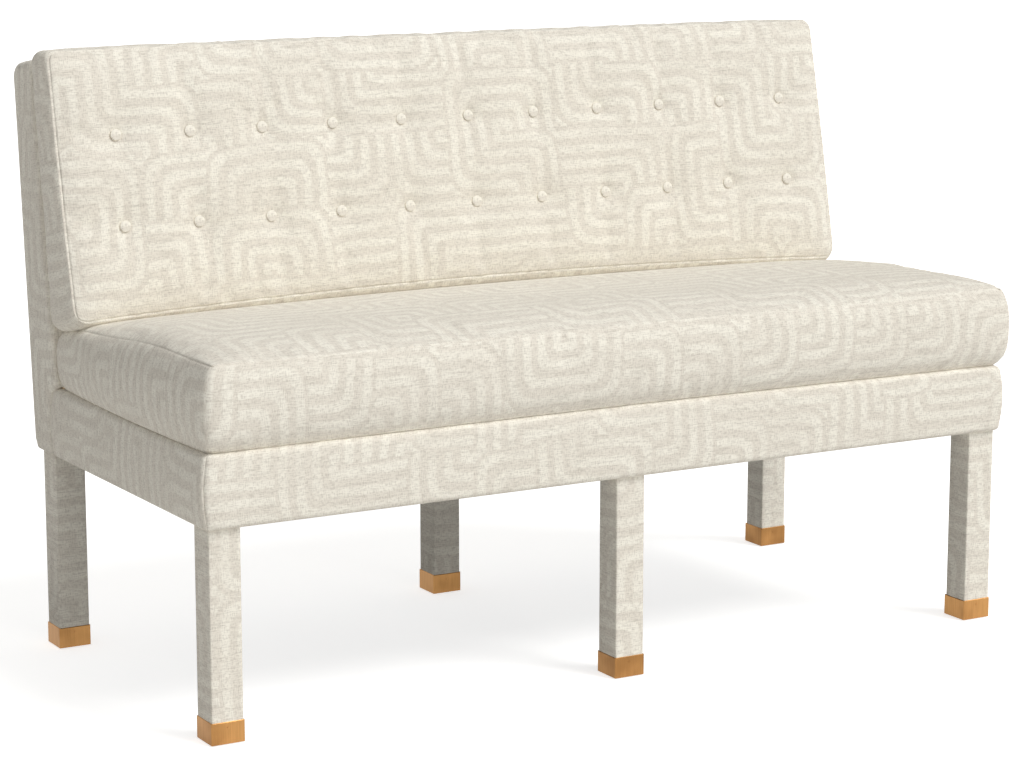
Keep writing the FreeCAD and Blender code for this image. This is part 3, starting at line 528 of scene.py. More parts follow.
def band_cover(column, number):
    """One side of the base band."""
    in_front = column == "front"
    low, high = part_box("front_band_cover")
    side_low, side_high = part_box("left_band_cover")
    profile = band_profile(low.z, high.z, 0.0)
    insets, up = profile[:, 0], path_lengths(profile)
    swells = [band_profile(low.z, high.z, swell)[:, 0] - insets for swell in band_swells]
    length = -2 * side_low.x if in_front else side_high.y - low.y
    stations = edge_stations(length, band_pitch)
    rows = []
    for (inset, height), front_swell, side_swell in zip(profile, *swells):
        corner = max(band_corner_radius - inset, 0.0004)
        lines = side_lines(
            -side_low.x - inset - side_swell, low.y + inset + front_swell, side_high.y + length,
            (corner, corner), 0.0, (0.0, 0.0), 400)
        line = lines[0 if in_front else 1]
        if not in_front:
            line = line[line[:, 1] < side_high.y]
            line = np.append(line, [[line[-1][0], side_high.y]], axis=0)
        rows.append(np.insert(resampled(line, stations), 2, height, axis=1))
    points = np.array(rows)
    along = path_lengths(points[len(profile) // 2])
    tangent = np.gradient(points, axis=1)
    outward = np.dstack([tangent[..., 1], -tangent[..., 0], 0 * tangent[..., 0]])
    outward /= np.linalg.norm(outward, axis=2, keepdims=True)
    from_end = along[-1] - along
    groove = seam_groove(np.minimum(along, from_end), band_seam_depth, band_seam_width)
    if not in_front:
        groove = sum(seam_groove(way, band_seam_depth, band_seam_width) for way in (along, from_end))
    on_face = np.clip((points[..., 2] - low.z) / (high.z - low.z) * 6, 0, 1)
    on_face *= (insets < band_lower_radius)[:, None]
    wave = band_ripple * np.sin(along * 19 + number) * np.sin(along * 7.3 + up[:, None] * 30)
    points += outward * ((wave - groove) * on_face)[..., None]
    if not in_front:
        points = np.append(points, points[:, -1:] - (band_end_fold, 0, 0), axis=1)
        along = np.append(along, along[-1] + band_end_fold)
    if column == "left":
        points[..., 0] *= -1
    middle = (low.z + high.z) / 2
    follows = np.clip((points[..., 2] - middle) / (high.z - middle), 0, 1)
    follows *= 1 - np.clip((insets - band_upper_radius) / band_turn_in, 0, 1)[:, None]
    points[..., 2] -= corner_drop(points[..., 0], points[..., 1]) * follows
    flat = np.meshgrid(along + number * 0.43, up + number * 0.29)
    piece = cloth_grid(column + "_band_cloth", points, *flat[::1 if in_front else -1], column != "left")
    settle(piece, cloth_thickness)
    wadding = {"front": ["front_band_wadding"], "left": ["side_band_wadding"]}.get(column, [])
    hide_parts(column + "_band_cover", *wadding)


for number, column in enumerate(("front", "left", "right")):
    band_cover(column, number)


# Seat: foam in a sewn cover of top panel and boxing, crowned in the middle, its sides rolled
# in to the seam above and tucked under below, where it is drawn down to the rails. Its rear
# edge falls away under the back pad.
seat_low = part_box("seat_cover")[0]
side_rail_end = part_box("left_side_rail")[1].y
panel_low, panel_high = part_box("back_panel")
panel_thickness = 0.006
panel_rake = (panel_high.y - panel_low.y - panel_thickness) / (panel_high.z - panel_low.z)
seat_half = 0.6125             # at mid-height, at the corners
seat_shift = 0.0035            # it sits a little to the right
seat_side_bow = 0.006
seat_front_bow = 0.003
seat_corner_radius = 0.014
seat_rear_corner = 0.004
seat_tall = 0.1065             # lower edge to the sewn edge
seat_crown = 0.0115
seat_crown_reach = 0.020       # how soon the crown rises from the front edge
seat_crown_side_reaches = (0.030, 0.065)   # and from the left and the right side
seat_side_rolls = (0.011, 0.009)    # drawn in at the sewn edge, tucked in at the lower edge
seat_front_rolls = (0.0035, 0.0125)
seat_right_swell = 0.005       # the right end bulges a little more
seat_fall_slope = 0.082        # how the sewn edge falls towards the rear
seat_fall_start = -0.07
seat_fall_round = 0.006        # and rounds down at the rear
seat_fall_reach = 0.010
seat_rear_crown = 0.0080       # the middle stays full where it meets the pad
seat_puff = 0.0042             # the ends are fuller over the springs, in front of the pad
seat_puff_middles = (-0.15, -0.24)  # at the left and at the right end
seat_puff_reach = 0.09
seat_pitch = 0.010
seat_seam_depth = 0.0006
seat_seam_width = 0.0013
seat_rear_gap = 0.001
seat_pressed_from = 0.06       # behind this Y the pad presses on it
swell_frames = 20
swell_pitch = 0.016            # of the coarse cover that is swollen as cloth
swell_edge = 0.008             # its first step from an edge
swell_settings = {
    "quality": 6, "mass": 0.25, "tension_stiffness": 12, "compression_stiffness": 6,
    "bending_stiffness": 0.4, "use_pressure": True, "uniform_pressure_force": 4.0,
    "vertex_group_mass": "held", "shrink_min": -0.012}


def panel_front(height):
    """Y of the back panel's front face at a height."""
    return panel_low.y + panel_rake * (height - panel_low.z)


def box_lattice(across, up, through):
    """Surface points of a box lattice as shares, and for each panel its table of point numbers,
    whether its faces are turned, and the box's axes that it lies along."""
    number = np.full((len(across), len(up), len(through)), -1)
    surface = np.ones(number.shape, bool)
    surface[1:-1, 1:-1, 1:-1] = False
    number[surface] = np.arange(surface.sum())
    where = np.argwhere(surface)
    shares = np.column_stack([across[where[:, 0]], up[where[:, 1]], through[where[:, 2]]])
    panels = {
        "top": (number[:, :, -1], False, (0, 1)), "under": (number[:, :, 0], True, (0, 1)),
        "front": (number[:, 0], False, (0, 2)), "rear": (number[:, -1], True, (0, 2)),
        "left": (number[0], True, (1, 2)), "right": (number[-1], False, (1, 2)),
    }
    return shares, panels


def coons(lines, across, up):
    """Points inside an outline's four sides, blended from the sides."""
    front, right, rear, left = lines
    on_front = resampled(front, across)
    on_rear = resampled(rear[::-1], across)
    on_left = resampled(left[::-1], up)
    on_right = resampled(right, up)
    a, b = across[:, None], up[:, None]
    corners = (
        (1 - a) * (1 - b) * front[0] + a * (1 - b) * front[-1]
        + (1 - a) * b * left[0] + a * b * right[-1])
    return (1 - b) * on_front + b * on_rear + (1 - a) * on_left + a * on_right - corners


def rolled(share, start, end, amount, power):
    """An inset that grows smoothly from nothing at one share to an amount at another."""
    return amount * max(0.0, (share - start) / (end - start)) ** power


def seat_edge_height(depth):
    """Height of the sewn edge at a Y: level in front, falling under the pad."""
    slope = seat_fall_slope * np.maximum(depth - seat_fall_start, 0)
    rounding = seat_fall_round * np.exp((depth - side_rail_end) / seat_fall_reach)
    return seat_low.z + seat_tall - slope - rounding


def smooth_step(share):
    """Rises smoothly from 0 to 1 as a share does."""
    share = np.clip(share, 0, 1)
    return share ** 2 * (3 - 2 * share)


def seat_fullness(across, depth):
    """How much the seat's top is raised at a place by its springs and foam."""
    middle = np.interp(across, (0, 1), seat_puff_middles)
    ends = seat_puff * (1 - 0.35 * across) * np.exp(-((depth - middle) / seat_puff_reach) ** 2)
    return ends + seat_rear_crown * smooth_step((depth + 0.08) / 0.16) * (1 - (2 * across - 1) ** 2)


def rounded_rim(shares, points, size, rims):
    """Rounds the edge between the top panel and each side by that side's own radius, given for
    the side's two ends and its middle."""
    below = (1 - shares[:, 2]) * size[2]
    on_top = shares[:, 2] == 1.0
    push = np.zeros_like(points)
    sides = (
        (shares[:, 1] == 0, shares[:, 1] * size[1], shares[:, 0], (0, 1)),
        (shares[:, 0] == 0, shares[:, 0] * size[0], shares[:, 1], (1, 0)),
        (shares[:, 0] == 1, (1 - shares[:, 0]) * size[0], shares[:, 1], (-1, 0)),
    )
    for (on_side, across, along, inward), radii in zip(sides, rims):
        radius = np.interp(along, (0.0, 0.45, 1.0), radii)
        distance = np.where(on_top, across, np.where(on_side, below, 1.0))
        share = np.clip(1 - distance / radius, 0, 1)
        amount = radius * share ** 2 / 4
        push[:, 0] += amount * inward[0]
        push[:, 1] += amount * inward[1]
        push[:, 2] -= amount
    return points + push


def seat_shape(shares):
    """Points of the seat's skin, before the cloth is swollen and sewn."""
    points = np.zeros_like(shares)
    for through in np.unique(shares[:, 2]):
        chosen = shares[:, 2] == through
        across, up = shares[chosen, 0], shares[chosen, 1]
        rear = panel_front(seat_low.z + through * seat_tall) - seat_rear_gap
        side_in = rolled(through, 0.5, 1.0, seat_side_rolls[0], 2.6)
        side_in += rolled(through, 0.4, 0.0, seat_side_rolls[1], 3.0)
        front_in = rolled(through, 0.6, 1.0, seat_front_rolls[0], 2.2)
        front_in += rolled(through, 0.22, 0.0, seat_front_rolls[1], 2.2)
        corner = seat_corner_radius - rolled(through, 0.5, 1.0, 0.006, 2.0)
        lines = side_lines(
            seat_half - side_in, seat_low.y + front_in + seat_front_bow, rear,
            (corner, seat_rear_corner), seat_side_bow, (seat_front_bow, seat_front_bow))
        flat = coons(lines, across, up)
        flat[:, 0] += seat_shift + seat_right_swell * across ** 6 * math.sin(math.pi * through)
        edge = seat_edge_height(flat[:, 1]) + seat_fullness(across, flat[:, 1])
        height = seat_low.z + (edge - seat_low.z) * through
        height -= corner_drop(flat[:, 0], flat[:, 1]) * (1 - through)
        if through == 1.0:
            rise = 1 - np.exp(-up * (rear - seat_low.y) / seat_crown_reach)
            for share, reach in zip((across, 1 - across), seat_crown_side_reaches):
                rise *= 1 - np.exp(-share * 2 * seat_half / reach)
            rise *= 1 - smooth_step((flat[:, 1] + 0.02) / (rear + 0.05))
            height += seat_crown * rise
        points[chosen] = np.column_stack([flat, height])
    return rounded_rim(shares, points, seat_size, seat_rims)


def cushion_lattice(size, pitch, close):
    """A box lattice with even steps that get closer at the edges."""
    steps = (pitch, pitch, pitch * 0.8)
    stations = [edge_stations(length, step, close) for length, step in zip(size, steps)]
    return stations, box_lattice(*stations)


def panel_uv(shares, panels, size, shift):
    """The flat pattern: each panel is laid out in metres, apart from the others."""
    quads, uv = [], []
    for number, (index, turned, axes) in enumerate(panels.values()):
        first, second = axes if 0 in axes else axes[::-1]
        across = shares[index, first] * size[first] + shift + number * 0.37
        along = shares[index, second] * size[second] + shift * 1.7 + number * 0.23
        quads.append(cell_corners(index, turned))
        uv.append(cell_corners(np.dstack([across, along]), turned))
    return np.concatenate(quads), np.concatenate(uv)


def drop_object(piece):
    """Removes a helping object with its mesh."""
    mesh = piece.data
    bpy.data.objects.remove(piece)
    bpy.data.meshes.remove(mesh)


def swollen(name, shape, size, pinned, limit):
    """Lets a coarse copy of a cushion's cover swell as cloth under pressure, and returns how far
    each of its points moved, panel by panel."""
    stations, (shares, panels) = cushion_lattice(size, swell_pitch, (swell_edge,))
    points = shape(shares)
    quads = np.concatenate([cell_corners(index, turned) for index, turned, axes in panels.values()])
    cover = cloth_mesh(name, points, quads, np.zeros((len(quads), 4, 2)))
    held = cover.vertex_groups.new(name="held")
    held.add(np.flatnonzero(pinned(shares, points)).tolist(), 1.0, "REPLACE")
    cloth = cover.modifiers.new("cloth", "CLOTH")
    for setting, value in swell_settings.items():
        setattr(cloth.settings, setting, value)
    cloth.settings.effector_weights.gravity = 0
    cloth.point_cache.frame_start = 1
    cloth.point_cache.frame_end = swell_frames
    for moment in range(1, swell_frames + 1):
        bpy.context.scene.frame_set(moment)
    keep_result(cover)
    after = np.zeros(points.size)
    cover.data.vertices.foreach_get("co", after)
    moved = after.reshape(-1, 3) - points
    far = np.linalg.norm(moved, axis=1, keepdims=True)
    moved *= np.tanh(far / limit) * limit / np.maximum(far, 1e-9)
    drop_object(cover)
    bpy.context.scene.frame_set(1)
    return stations, panels, moved


def carried_over(swell, stations, shares, panels):
    """The coarse cover's movement, read at a finer lattice's points."""
    coarse_stations, coarse_panels, moved = swell
    result = np.zeros_like(shares)
    for panel, (index, turned, axes) in panels.items():
        table = moved[coarse_panels[panel][0]]
        for side, axis in enumerate(axes):
            table = np.apply_along_axis(
                lambda row: np.interp(stations[axis], coarse_stations[axis], row), side, table)
        result[index] = table
    return result


def sewn_groove(shares, points, size, depth, width, inset, fades):
    """Pulls the skin in along a seam that runs round the top panel, a little inside its edge; it
    may fade from left to right and from front to rear."""
    from_side = np.minimum.reduce([
        shares[:, 0] * size[0], (1 - shares[:, 0]) * size[0],
        shares[:, 1] * size[1], (1 - shares[:, 1]) * size[1]])
    away = np.where(shares[:, 2] == 1.0, from_side - inset, (1 - shares[:, 2]) * size[2] + inset)
    inward = points.mean(axis=0) - points
    inward = np.clip(inward, -0.05, 0.05)
    inward /= np.maximum(np.linalg.norm(inward, axis=1, keepdims=True), 1e-9)
    strength = (1 - fades[0] * shares[:, 0]) * (1 - np.clip(fades[1] * shares[:, 1], 0, 1))
    return points + inward * (depth * strength * np.exp(-(away / width) ** 2))[:, None]


def dress_cushion(name, shape, size, pitch, close, shift, pinned, limit, seam):
    """A padded piece: shaped, swollen as cloth, then sewn."""
    stations, (shares, panels) = cushion_lattice(size, pitch, close)
    points = shape(shares)
    swell = swollen(name + "_swell", shape, size, pinned, limit)
    points += carried_over(swell, stations, shares, panels)
    points = sewn_groove(shares, points, size, *seam)
    quads, uv = panel_uv(shares, panels, size, shift)
    piece = cloth_mesh(name, points, quads, uv)
    settle(piece)
    return piece


seat_size = (2 * seat_half, panel_front(seat_low.z) - seat_low.y, seat_tall)
seat_rims = ((0.005, 0.010, 0.016), (0.005, 0.022, 0.012), (0.010, 0.016, 0.012))


def seat_pins(shares, points):
    """The seat's cover is stapled below, sewn round the top and pressed flat behind."""
    on_edge = (shares[:, 0] == 0) | (shares[:, 0] == 1) | (shares[:, 1] == 0)
    return (shares[:, 2] == 0.0) | (points[:, 1] > seat_pressed_from) | ((shares[:, 2] == 1.0) & on_edge)


seat_cloth = dress_cushion(
    "seat_cushion_cloth", seat_shape, seat_size, seat_pitch, (0.0008, 0.0016, 0.0026, 0.005), 0.05,
    seat_pins, 0.003, (seat_seam_depth, seat_seam_width, 0.0, (0.7, 2.2)))
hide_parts("seat_cover", "seat_foam")


# Back frame's cloth: a panel sewn to each side, a strip over the top and the outside back,
# drawn flat over wadding and board and closed with plain seams along the rear edges.
back_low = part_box("outside_back_cover")[0]
top_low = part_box("back_top_cover")[0]
side_low, side_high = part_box("left_back_side_cover")
side_band_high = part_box("left_band_cover")[1]
back_top_radius = 0.022
back_front_radius = 0.003      # of the top strip's front edge
back_top_tucks = (0.030, 0.018, 0.006)  # below the top, where the strip goes down behind the pad
back_bottom_radius = 0.014
back_side_radius = 0.009
back_side_puff = 0.0015
back_side_tucks = [            # outwards and inwards, in edge radii: behind the pad, then elsewhere
    ((1.0, 1.3), (0.8, 1.4)), ((1.4, 1.6), (0.4, 1.7)), ((1.4, 7.0), (0.0, 1.9))]
back_padding = 0.0045          # wadding between the posts and the side cloth
back_sag = 0.0030              # its padded lower edge hangs below the rail
back_groove = 0.0030           # the side cloth's front edge stands back from the pad
back_pitch = 0.012
back_seam_depth = 0.0010
back_seam_width = 0.0025
back_under = 0.016             # the outside back's lower edge, folded under the rail
back_top_fall = 0.13           # how the top falls to the rear
back_top_reach = 0.12
outer_x = back_padding - side_low.x
side_low.z -= back_sag
rear_low_y = back_low.y + back_under + back_bottom_radius
rear_rake = (side_high.y - rear_low_y) / (side_high.z - back_top_radius - side_low.z)


def rear_face(height):
    """Y of the outside back's cloth at a height."""
    return rear_low_y + rear_rake * (height - side_low.z)


def fallen(depth, height):
    """Height of a point near the top, which falls to the rear as the whole back leans."""
    share = np.clip((height - side_high.z + back_top_reach) / back_top_reach, 0, 1)
    return height - back_top_fall * np.maximum(depth - top_low.y, 0) * share * share


def back_rows():
    """The top strip's outline in Y and Z: up from behind the pad, over the top and down the rear."""
    high = side_high.z
    front = panel_front(high) + 0.0005
    start_y = front + back_front_radius
    centre_z = high - back_top_radius
    centre_y = rear_face(centre_z) - back_top_radius
    return np.concatenate([
        [(front, high - depth) for depth in back_top_tucks],
        arc((start_y, high - back_front_radius), back_front_radius, 2, 1, 5),
        [(start_y + (centre_y - start_y) * share, high) for share in (0.25, 0.5, 0.75, 1)],
        arc((centre_y, centre_z), back_top_radius, 1, 0, 11)[1:]])


def strip_cloth(name, covers, profile, half_x, number):
    """A strip of cloth that keeps one outline from side to side."""
    profile = np.column_stack([profile[:, 0], fallen(profile[:, 0], profile[:, 1])])
    across = (edge_stations(2 * half_x, back_pitch) * 2 - 1) * half_x
    along = path_lengths(profile)
    tangent = np.gradient(profile, axis=0)
    normal = np.column_stack([-tangent[:, 1], tangent[:, 0]])
    normal /= np.linalg.norm(normal, axis=1, keepdims=True)
    push = 0.0005 * np.sin(across * 9 + number)[:, None] * np.sin(along * 11)
    push -= seam_groove(half_x - np.abs(across), back_seam_depth, back_seam_width)[:, None]
    for distance in (along, along[-1] - along):
        push -= seam_groove(distance, back_seam_depth, back_seam_width)
    points = np.dstack([across[:, None] + 0 * push, *(
        profile[:, axis] + push * normal[:, axis] for axis in range(2))])
    flat_along, flat_across = np.meshgrid(along + number * 0.19, across + number * 0.33)
    piece = cloth_grid(name, points, flat_across, -flat_along, True)
    settle(piece, cloth_thickness)
    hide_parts(*covers)


rear_seam_x = outer_x - back_side_radius - 0.0015
over_top = back_rows()
strip_cloth(
    "back_top_cloth", ("back_top_cover", "back_top_wadding"), over_top, rear_seam_x, 1)
low_z = side_low.z + back_bottom_radius
low_y = rear_face(low_z) - back_bottom_radius
down_rear = np.concatenate([
    [over_top[-1] - (0, 0.0004)],
    [(rear_face(height), height) for height in np.arange(over_top[-1][1] - 0.0016, low_z, -back_pitch)],
    arc((low_y, low_z), back_bottom_radius, 0, -1, 7),
    [(low_y - back_under * share, side_low.z) for share in np.arange(1, 4) / 3]])
strip_cloth(
    "outside_back_cloth", ("outside_back_cover",), down_rear, rear_seam_x, 2)


def side_front(height):
    """Y of a side panel's front edge: behind the side band below, at the frame's front face above."""
    if height < side_band_high.z + 0.0002:
        return side_band_high.y + 0.0004
    return panel_front(height) + back_groove


def side_rear(height):
    """Y of the line round which a side panel's rear edge turns, with its rounded corners."""
    upper = side_high.z - back_top_radius
    lower = side_low.z + back_bottom_radius
    if lower <= height <= upper:
        return rear_face(height) - back_side_radius
    end, radius = (upper, back_top_radius) if height > upper else (lower, back_bottom_radius)
    inner = radius - back_side_radius
    return rear_face(end) - radius + math.sqrt(max(inner ** 2 - (height - end) ** 2, 0.0))


def closed_round(rows):
    """A table of rows, each with its first entry once more at its end."""
    table = np.array(rows)
    return np.concatenate([table, table[:, :1]], axis=1)


def side_cloth(side, number):
    """One side panel of the back, turned round the frame's edges at the front, rear and top."""
    low, high = side_low.z + back_side_radius, side_high.z - back_side_radius
    split = side_band_high.z
    heights = np.concatenate([
        np.linspace(low, split - 0.001, 12), np.linspace(split + back_side_radius, high - 0.024, 40),
        high - 0.024 * (1 - np.sin(np.linspace(0.1, 1, 14) * math.pi / 2))])
    shares = np.linspace(0, 1, 14)
    front, rear = (np.array([[edge(height)] for height in heights]) for edge in (side_front, side_rear))
    front += back_side_radius
    depths = front + (rear - front) * shares
    swell = np.sin(np.clip((heights - low) / (high - low), 0, 1) * math.pi) ** 0.3
    puff = back_side_puff * swell[:, None] * np.sin(shares * math.pi) ** 0.6
    face = np.dstack([outer_x - 0.0004 + puff, depths, heights[:, None] + 0 * depths])
    index = np.arange(depths.size).reshape(depths.shape)
    border = np.concatenate([index[:-1, 0], index[-1, :-1], index[:0:-1, -1], index[0, :0:-1]])
    edge_x, *edge_flat = face.reshape(-1, 3)[border].T
    loop = np.column_stack(edge_flat)
    ahead = np.roll(loop, -1, axis=0) - loop
    normal = np.column_stack([-ahead[:, 1], ahead[:, 0]])
    normal /= np.linalg.norm(normal, axis=1, keepdims=True)
    before = np.roll(normal, 1, axis=0)
    normal = (normal + before) / (1 + (normal * before).sum(axis=1, keepdims=True))
    by_pad = ((normal[:, 0] < -0.7) & (loop[:, 1] > split))[:, None]
    turns = np.linspace(0, math.pi / 2, 6)[1:]
    steps = [((math.sin(turn), 1 - math.cos(turn)),) * 2 for turn in turns] + back_side_tucks
    points, tables, uv = [face.reshape(-1, 3)], [border], [loop]
    for step in steps:
        out, inward = (np.where(by_pad, *pair) * back_side_radius for pair in zip(*step))
        tables.append(np.arange(len(border)) + sum(len(part) for part in points))
        points.append(np.column_stack([edge_x - inward[:, 0], loop + normal * out]))
        uv.append(loop + normal * np.hypot(out, inward))
    points = np.concatenate(points) * (side, 1, 1)
    points[:, 2] = fallen(points[:, 1], points[:, 2])
    shift = np.array([number * 0.5, number * 0.21])
    quads, flat = [], []
    for table, places in ((index, face[..., 1:]), (closed_round(tables), closed_round(uv))):
        quads.append(cell_corners(table, side > 0))
        flat.append(cell_corners((places + shift)[..., ::-1], side > 0))
    name = ("left" if side < 0 else "right") + "_back_side"
    piece = cloth_mesh(name + "_cloth", points, np.concatenate(quads), np.concatenate(flat))
    settle(piece, cloth_thickness)
    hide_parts(name + "_cover", *(["back_side_wadding"] if side < 0 else []))


side_cloth(-1, 0)
side_cloth(1, 1)


# Back pad: a foam wedge in a sewn cover of face panel and boxing, tied through to the plywood
# panel behind at 22 covered buttons, each of which pulls a shallow tuft into the face.
pad_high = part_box("back_pad_cover")[1]
pad_half = pad_high.x + 0.0012
face_low = np.array([0.1012, 0.4672])      # Y and Z of the face's lower sewn edge
face_high = np.array([0.1771, 0.8200])
pad_crown = 0.009
pad_crown_reach = 0.030
pad_corner_radii = (0.021, 0.010)    # lower corners, upper corners
pad_shift = -0.0040            # it sits a little to the left
pad_bow = 0.0010
pad_sag = 0.0040               # its lower corners hang lower
pad_lower_bow = 0.011          # than the middle of its lower edge, which arches over the seat
pad_lower_rolls = (0.003, 0.0075)   # and rolls out below the sewn edge, at the corners and in the middle
pad_edge_roll = 0.0012
pad_rear_roll = 0.014          # radius round the boxing's rear edge
pad_boxing_swell = 0.0028
pad_pitch = 0.005
pad_seam_depth = 0.0017
pad_seam_width = 0.0010
pad_seam_inset = 0.0032
tuft_reaches = (0.024, 0.0115)
tuft_depths = (0.0024, 0.0036)
button_columns = 11
button_side_margin = 0.081
button_row_shares = (0.3225, 0.658)

face_length = np.linalg.norm(face_high - face_low)
face_up = (face_high - face_low) / face_length
face_out = np.array([-face_up[1], face_up[0]])


def pad_thickness(point):
    """Distance from a point of the face straight back to the panel."""
    ahead = panel_front(point[1]) - point[0]
    return ahead / (-face_out[0] + panel_rake * face_out[1])


rear_low = face_low - face_out * pad_thickness(face_low)
rear_high = face_high - face_out * pad_thickness(face_high)
button_pitch = 2 * (pad_half - button_side_margin) / (button_columns - 1)
button_places = [
    ((column - (button_columns - 1) / 2) * button_pitch, face_length * (1 - row))
    for row in button_row_shares for column in range(button_columns)
]


def pad_shape(shares):
    """Points of the pad's skin, before the cloth is swollen and sewn."""
    points = np.zeros_like(shares)
    for through in np.unique(shares[:, 2]):
        chosen = shares[:, 2] == through
        across, up = shares[chosen, 0], shares[chosen, 1]
        low = rear_low + (face_low - rear_low) * through
        high = rear_high + (face_high - rear_high) * through
        length = np.linalg.norm(high - low)
        rise = (high - low) / length
        from_rear = min(through * pad_size[2], pad_rear_roll)
        rear_roll = pad_rear_roll - math.sqrt(pad_rear_roll ** 2 - (pad_rear_roll - from_rear) ** 2)
        fullness = math.sin(math.pi * through)
        roll = rolled(through, 0.9, 1.0, pad_edge_roll, 2.0) + rear_roll - pad_boxing_swell * fullness
        low_corner, high_corner = pad_corner_radii
        corner_roll, middle_roll = (rolled(through, 0.85, 1.0, amount, 2.0) for amount in pad_lower_rolls)
        lines = side_lines(
            pad_half - pad_bow - roll, roll - pad_sag + corner_roll, length - roll - pad_bow,
            (low_corner, high_corner * (1.6 - 0.7 * fullness)), pad_bow,
            (corner_roll - middle_roll - pad_lower_bow, pad_bow))
        flat = coons(lines, across, up) + (pad_shift, 0)
        crown = np.zeros(len(across))
        if through == 1.0:
            swell = np.ones(len(across))
            for distance in (
                    across * 2 * pad_half, (1 - across) * 2 * pad_half, up * length, (1 - up) * length):
                swell *= 1 - np.exp(-distance / pad_crown_reach)
            crown = swell * pad_crown
            for x, v in button_places:
                away = np.hypot(flat[:, 0] - x, flat[:, 1] - v)
                for depth, reach in zip(tuft_depths, tuft_reaches):
                    crown -= depth * np.exp(-(away / reach) ** 2)
        points[chosen, 0] = flat[:, 0]
        points[chosen, 1] = low[0] + rise[0] * flat[:, 1] + face_out[0] * crown
        points[chosen, 2] = low[1] + rise[1] * flat[:, 1] + face_out[1] * crown
    return points


def pad_pins(shares, points):
    """The pad's cover is held at its back, round its sewn edge, along the seat and at every button."""
    on_rim = np.minimum.reduce([shares[:, 0], 1 - shares[:, 0], shares[:, 1], 1 - shares[:, 1]]) == 0
    pins = (shares[:, 2] == 0.0) | ((shares[:, 2] == 1.0) & on_rim) | (shares[:, 1] == 0)
    for x, v in button_places:
        height = face_low[1] + face_up[1] * v
        away = np.hypot(points[:, 0] - x, (points[:, 2] - height) / face_up[1])
        pins |= (shares[:, 2] == 1.0) & (away < 0.016)
    return pins


pad_size = (2 * pad_half, face_length, float(pad_thickness(face_low)))
pad_cloth = dress_cushion(
    "back_pad_cloth", pad_shape, pad_size, pad_pitch,
    (0.0008, 0.0016, 0.0024, 0.0032, 0.0040, 0.0050, 0.007), 0.9, pad_pins, 0.004,
    (pad_seam_depth, pad_seam_width, pad_seam_inset, (0.0, 0.0)))
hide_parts("back_pad_cover", "back_pad_foam")


# Buttons: flat metal shells covered in the same cloth, drawn into the pad by waxed twine that
# ends in a plastic toggle behind the panel.
button_radius = 0.0079
button_dome = 0.0015
button_seat = 0.0030


def button_shape():
    """One covered button, its open side down, drawn at the origin."""
    profile = [(0.92, -0.0026), (1.0, -0.0014), (1.0, 0.0)]
    for turn in (0.5, 1.0, 1.5):
        profile.append((0.84 + 0.16 * math.cos(turn), button_dome * 0.7 * math.sin(turn)))
    profile.append((0.45, button_dome * 0.95))
    around = np.arange(16) / 16 * 2 * math.pi
    points = [
        (button_radius * share * math.cos(turn), button_radius * share * math.sin(turn), height)
        for share, height in profile for turn in around]
    index = closed_round(np.arange(len(points)).reshape(-1, len(around)))
    faces = cell_corners(index, True).tolist()
    rim = index[-1].tolist()
    faces += [(start, end, len(points)) for start, end in zip(rim[:-1], rim[1:])]
    points.append((0.0, 0.0, button_dome + 0.0001))
    mesh = bpy.data.meshes.new("button_shape")
    mesh.from_pydata(points, [], faces)
    layer = mesh.uv_layers.new(name="cloth")
    flat = np.array(points)[[loop.vertex_index for loop in mesh.loops], :2] + 0.03
    layer.data.foreach_set("uv", flat.ravel())
    mesh.polygons.foreach_set("use_smooth", [True] * len(mesh.polygons))
    mesh.materials.append(jacquard)
    return bpy.data.objects.new("button_shape", mesh)


def repeats(name, slot, places, turns, shape_object, material):
    """One object that holds a copy of a shape at every place, made by geometry nodes."""
    holder = bpy.data.meshes.new(name)
    holder.from_pydata(places, [], [])
    turn_values = holder.attributes.new("turn", "FLOAT_VECTOR", "POINT")
    turn_values.data.foreach_set("vector", np.array(turns, float).ravel())
    piece = bpy.data.objects.new(name, holder)
    bpy.context.scene.collection.objects.link(piece)
    group = bpy.data.node_groups.new(name + "_places", "GeometryNodeTree")
    sockets = group.interface
    sockets.new_socket("Geometry", in_out="INPUT", socket_type="NodeSocketGeometry")
    shape_input = sockets.new_socket("Shape", in_out="INPUT", socket_type="NodeSocketObject").identifier
    sockets.new_socket("Geometry", in_out="OUTPUT", socket_type="NodeSocketGeometry")
    given = group.nodes.new("NodeGroupInput").outputs
    info = add_node(group, "GeometryNodeObjectInfo", {"Object": given["Shape"]})
    turn = add_node(group, "GeometryNodeInputNamedAttribute", {"Name": "turn"}, data_type="FLOAT_VECTOR")
    placed = add_node(group, "GeometryNodeInstanceOnPoints", {
        "Points": given["Geometry"], "Instance": info.outputs["Geometry"],
        "Rotation": turn.outputs["Attribute"]})
    made = add_node(group, "GeometryNodeRealizeInstances", {"Geometry": placed.outputs[0]})
    finished = add_node(
        group, "GeometryNodeSetMaterial", {"Geometry": made.outputs[0], "Material": material})
    add_node(group, "NodeGroupOutput", {0: finished.outputs[0]})
    modifier = piece.modifiers.new("copies", "NODES")
    modifier.node_group = group
    modifier[shape_input] = shape_object
    keep_result(piece)
    bpy.data.node_groups.remove(group)
    drop_object(shape_object)
    settle(piece)
    return piece


face_turn = math.atan2(-face_out[0], face_out[1])
button_lift = pad_crown - sum(tuft_depths) + button_seat
button_centres = [(x, *(face_low + face_up * v + face_out * button_lift)) for x, v in button_places]
button_turns = [(face_turn, 0.0, 0.0)] * len(button_centres)
buttons = repeats(
    "covered_buttons", "upholstery_fabric", button_centres, button_turns, button_shape(), jacquard)
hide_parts("back_buttons")


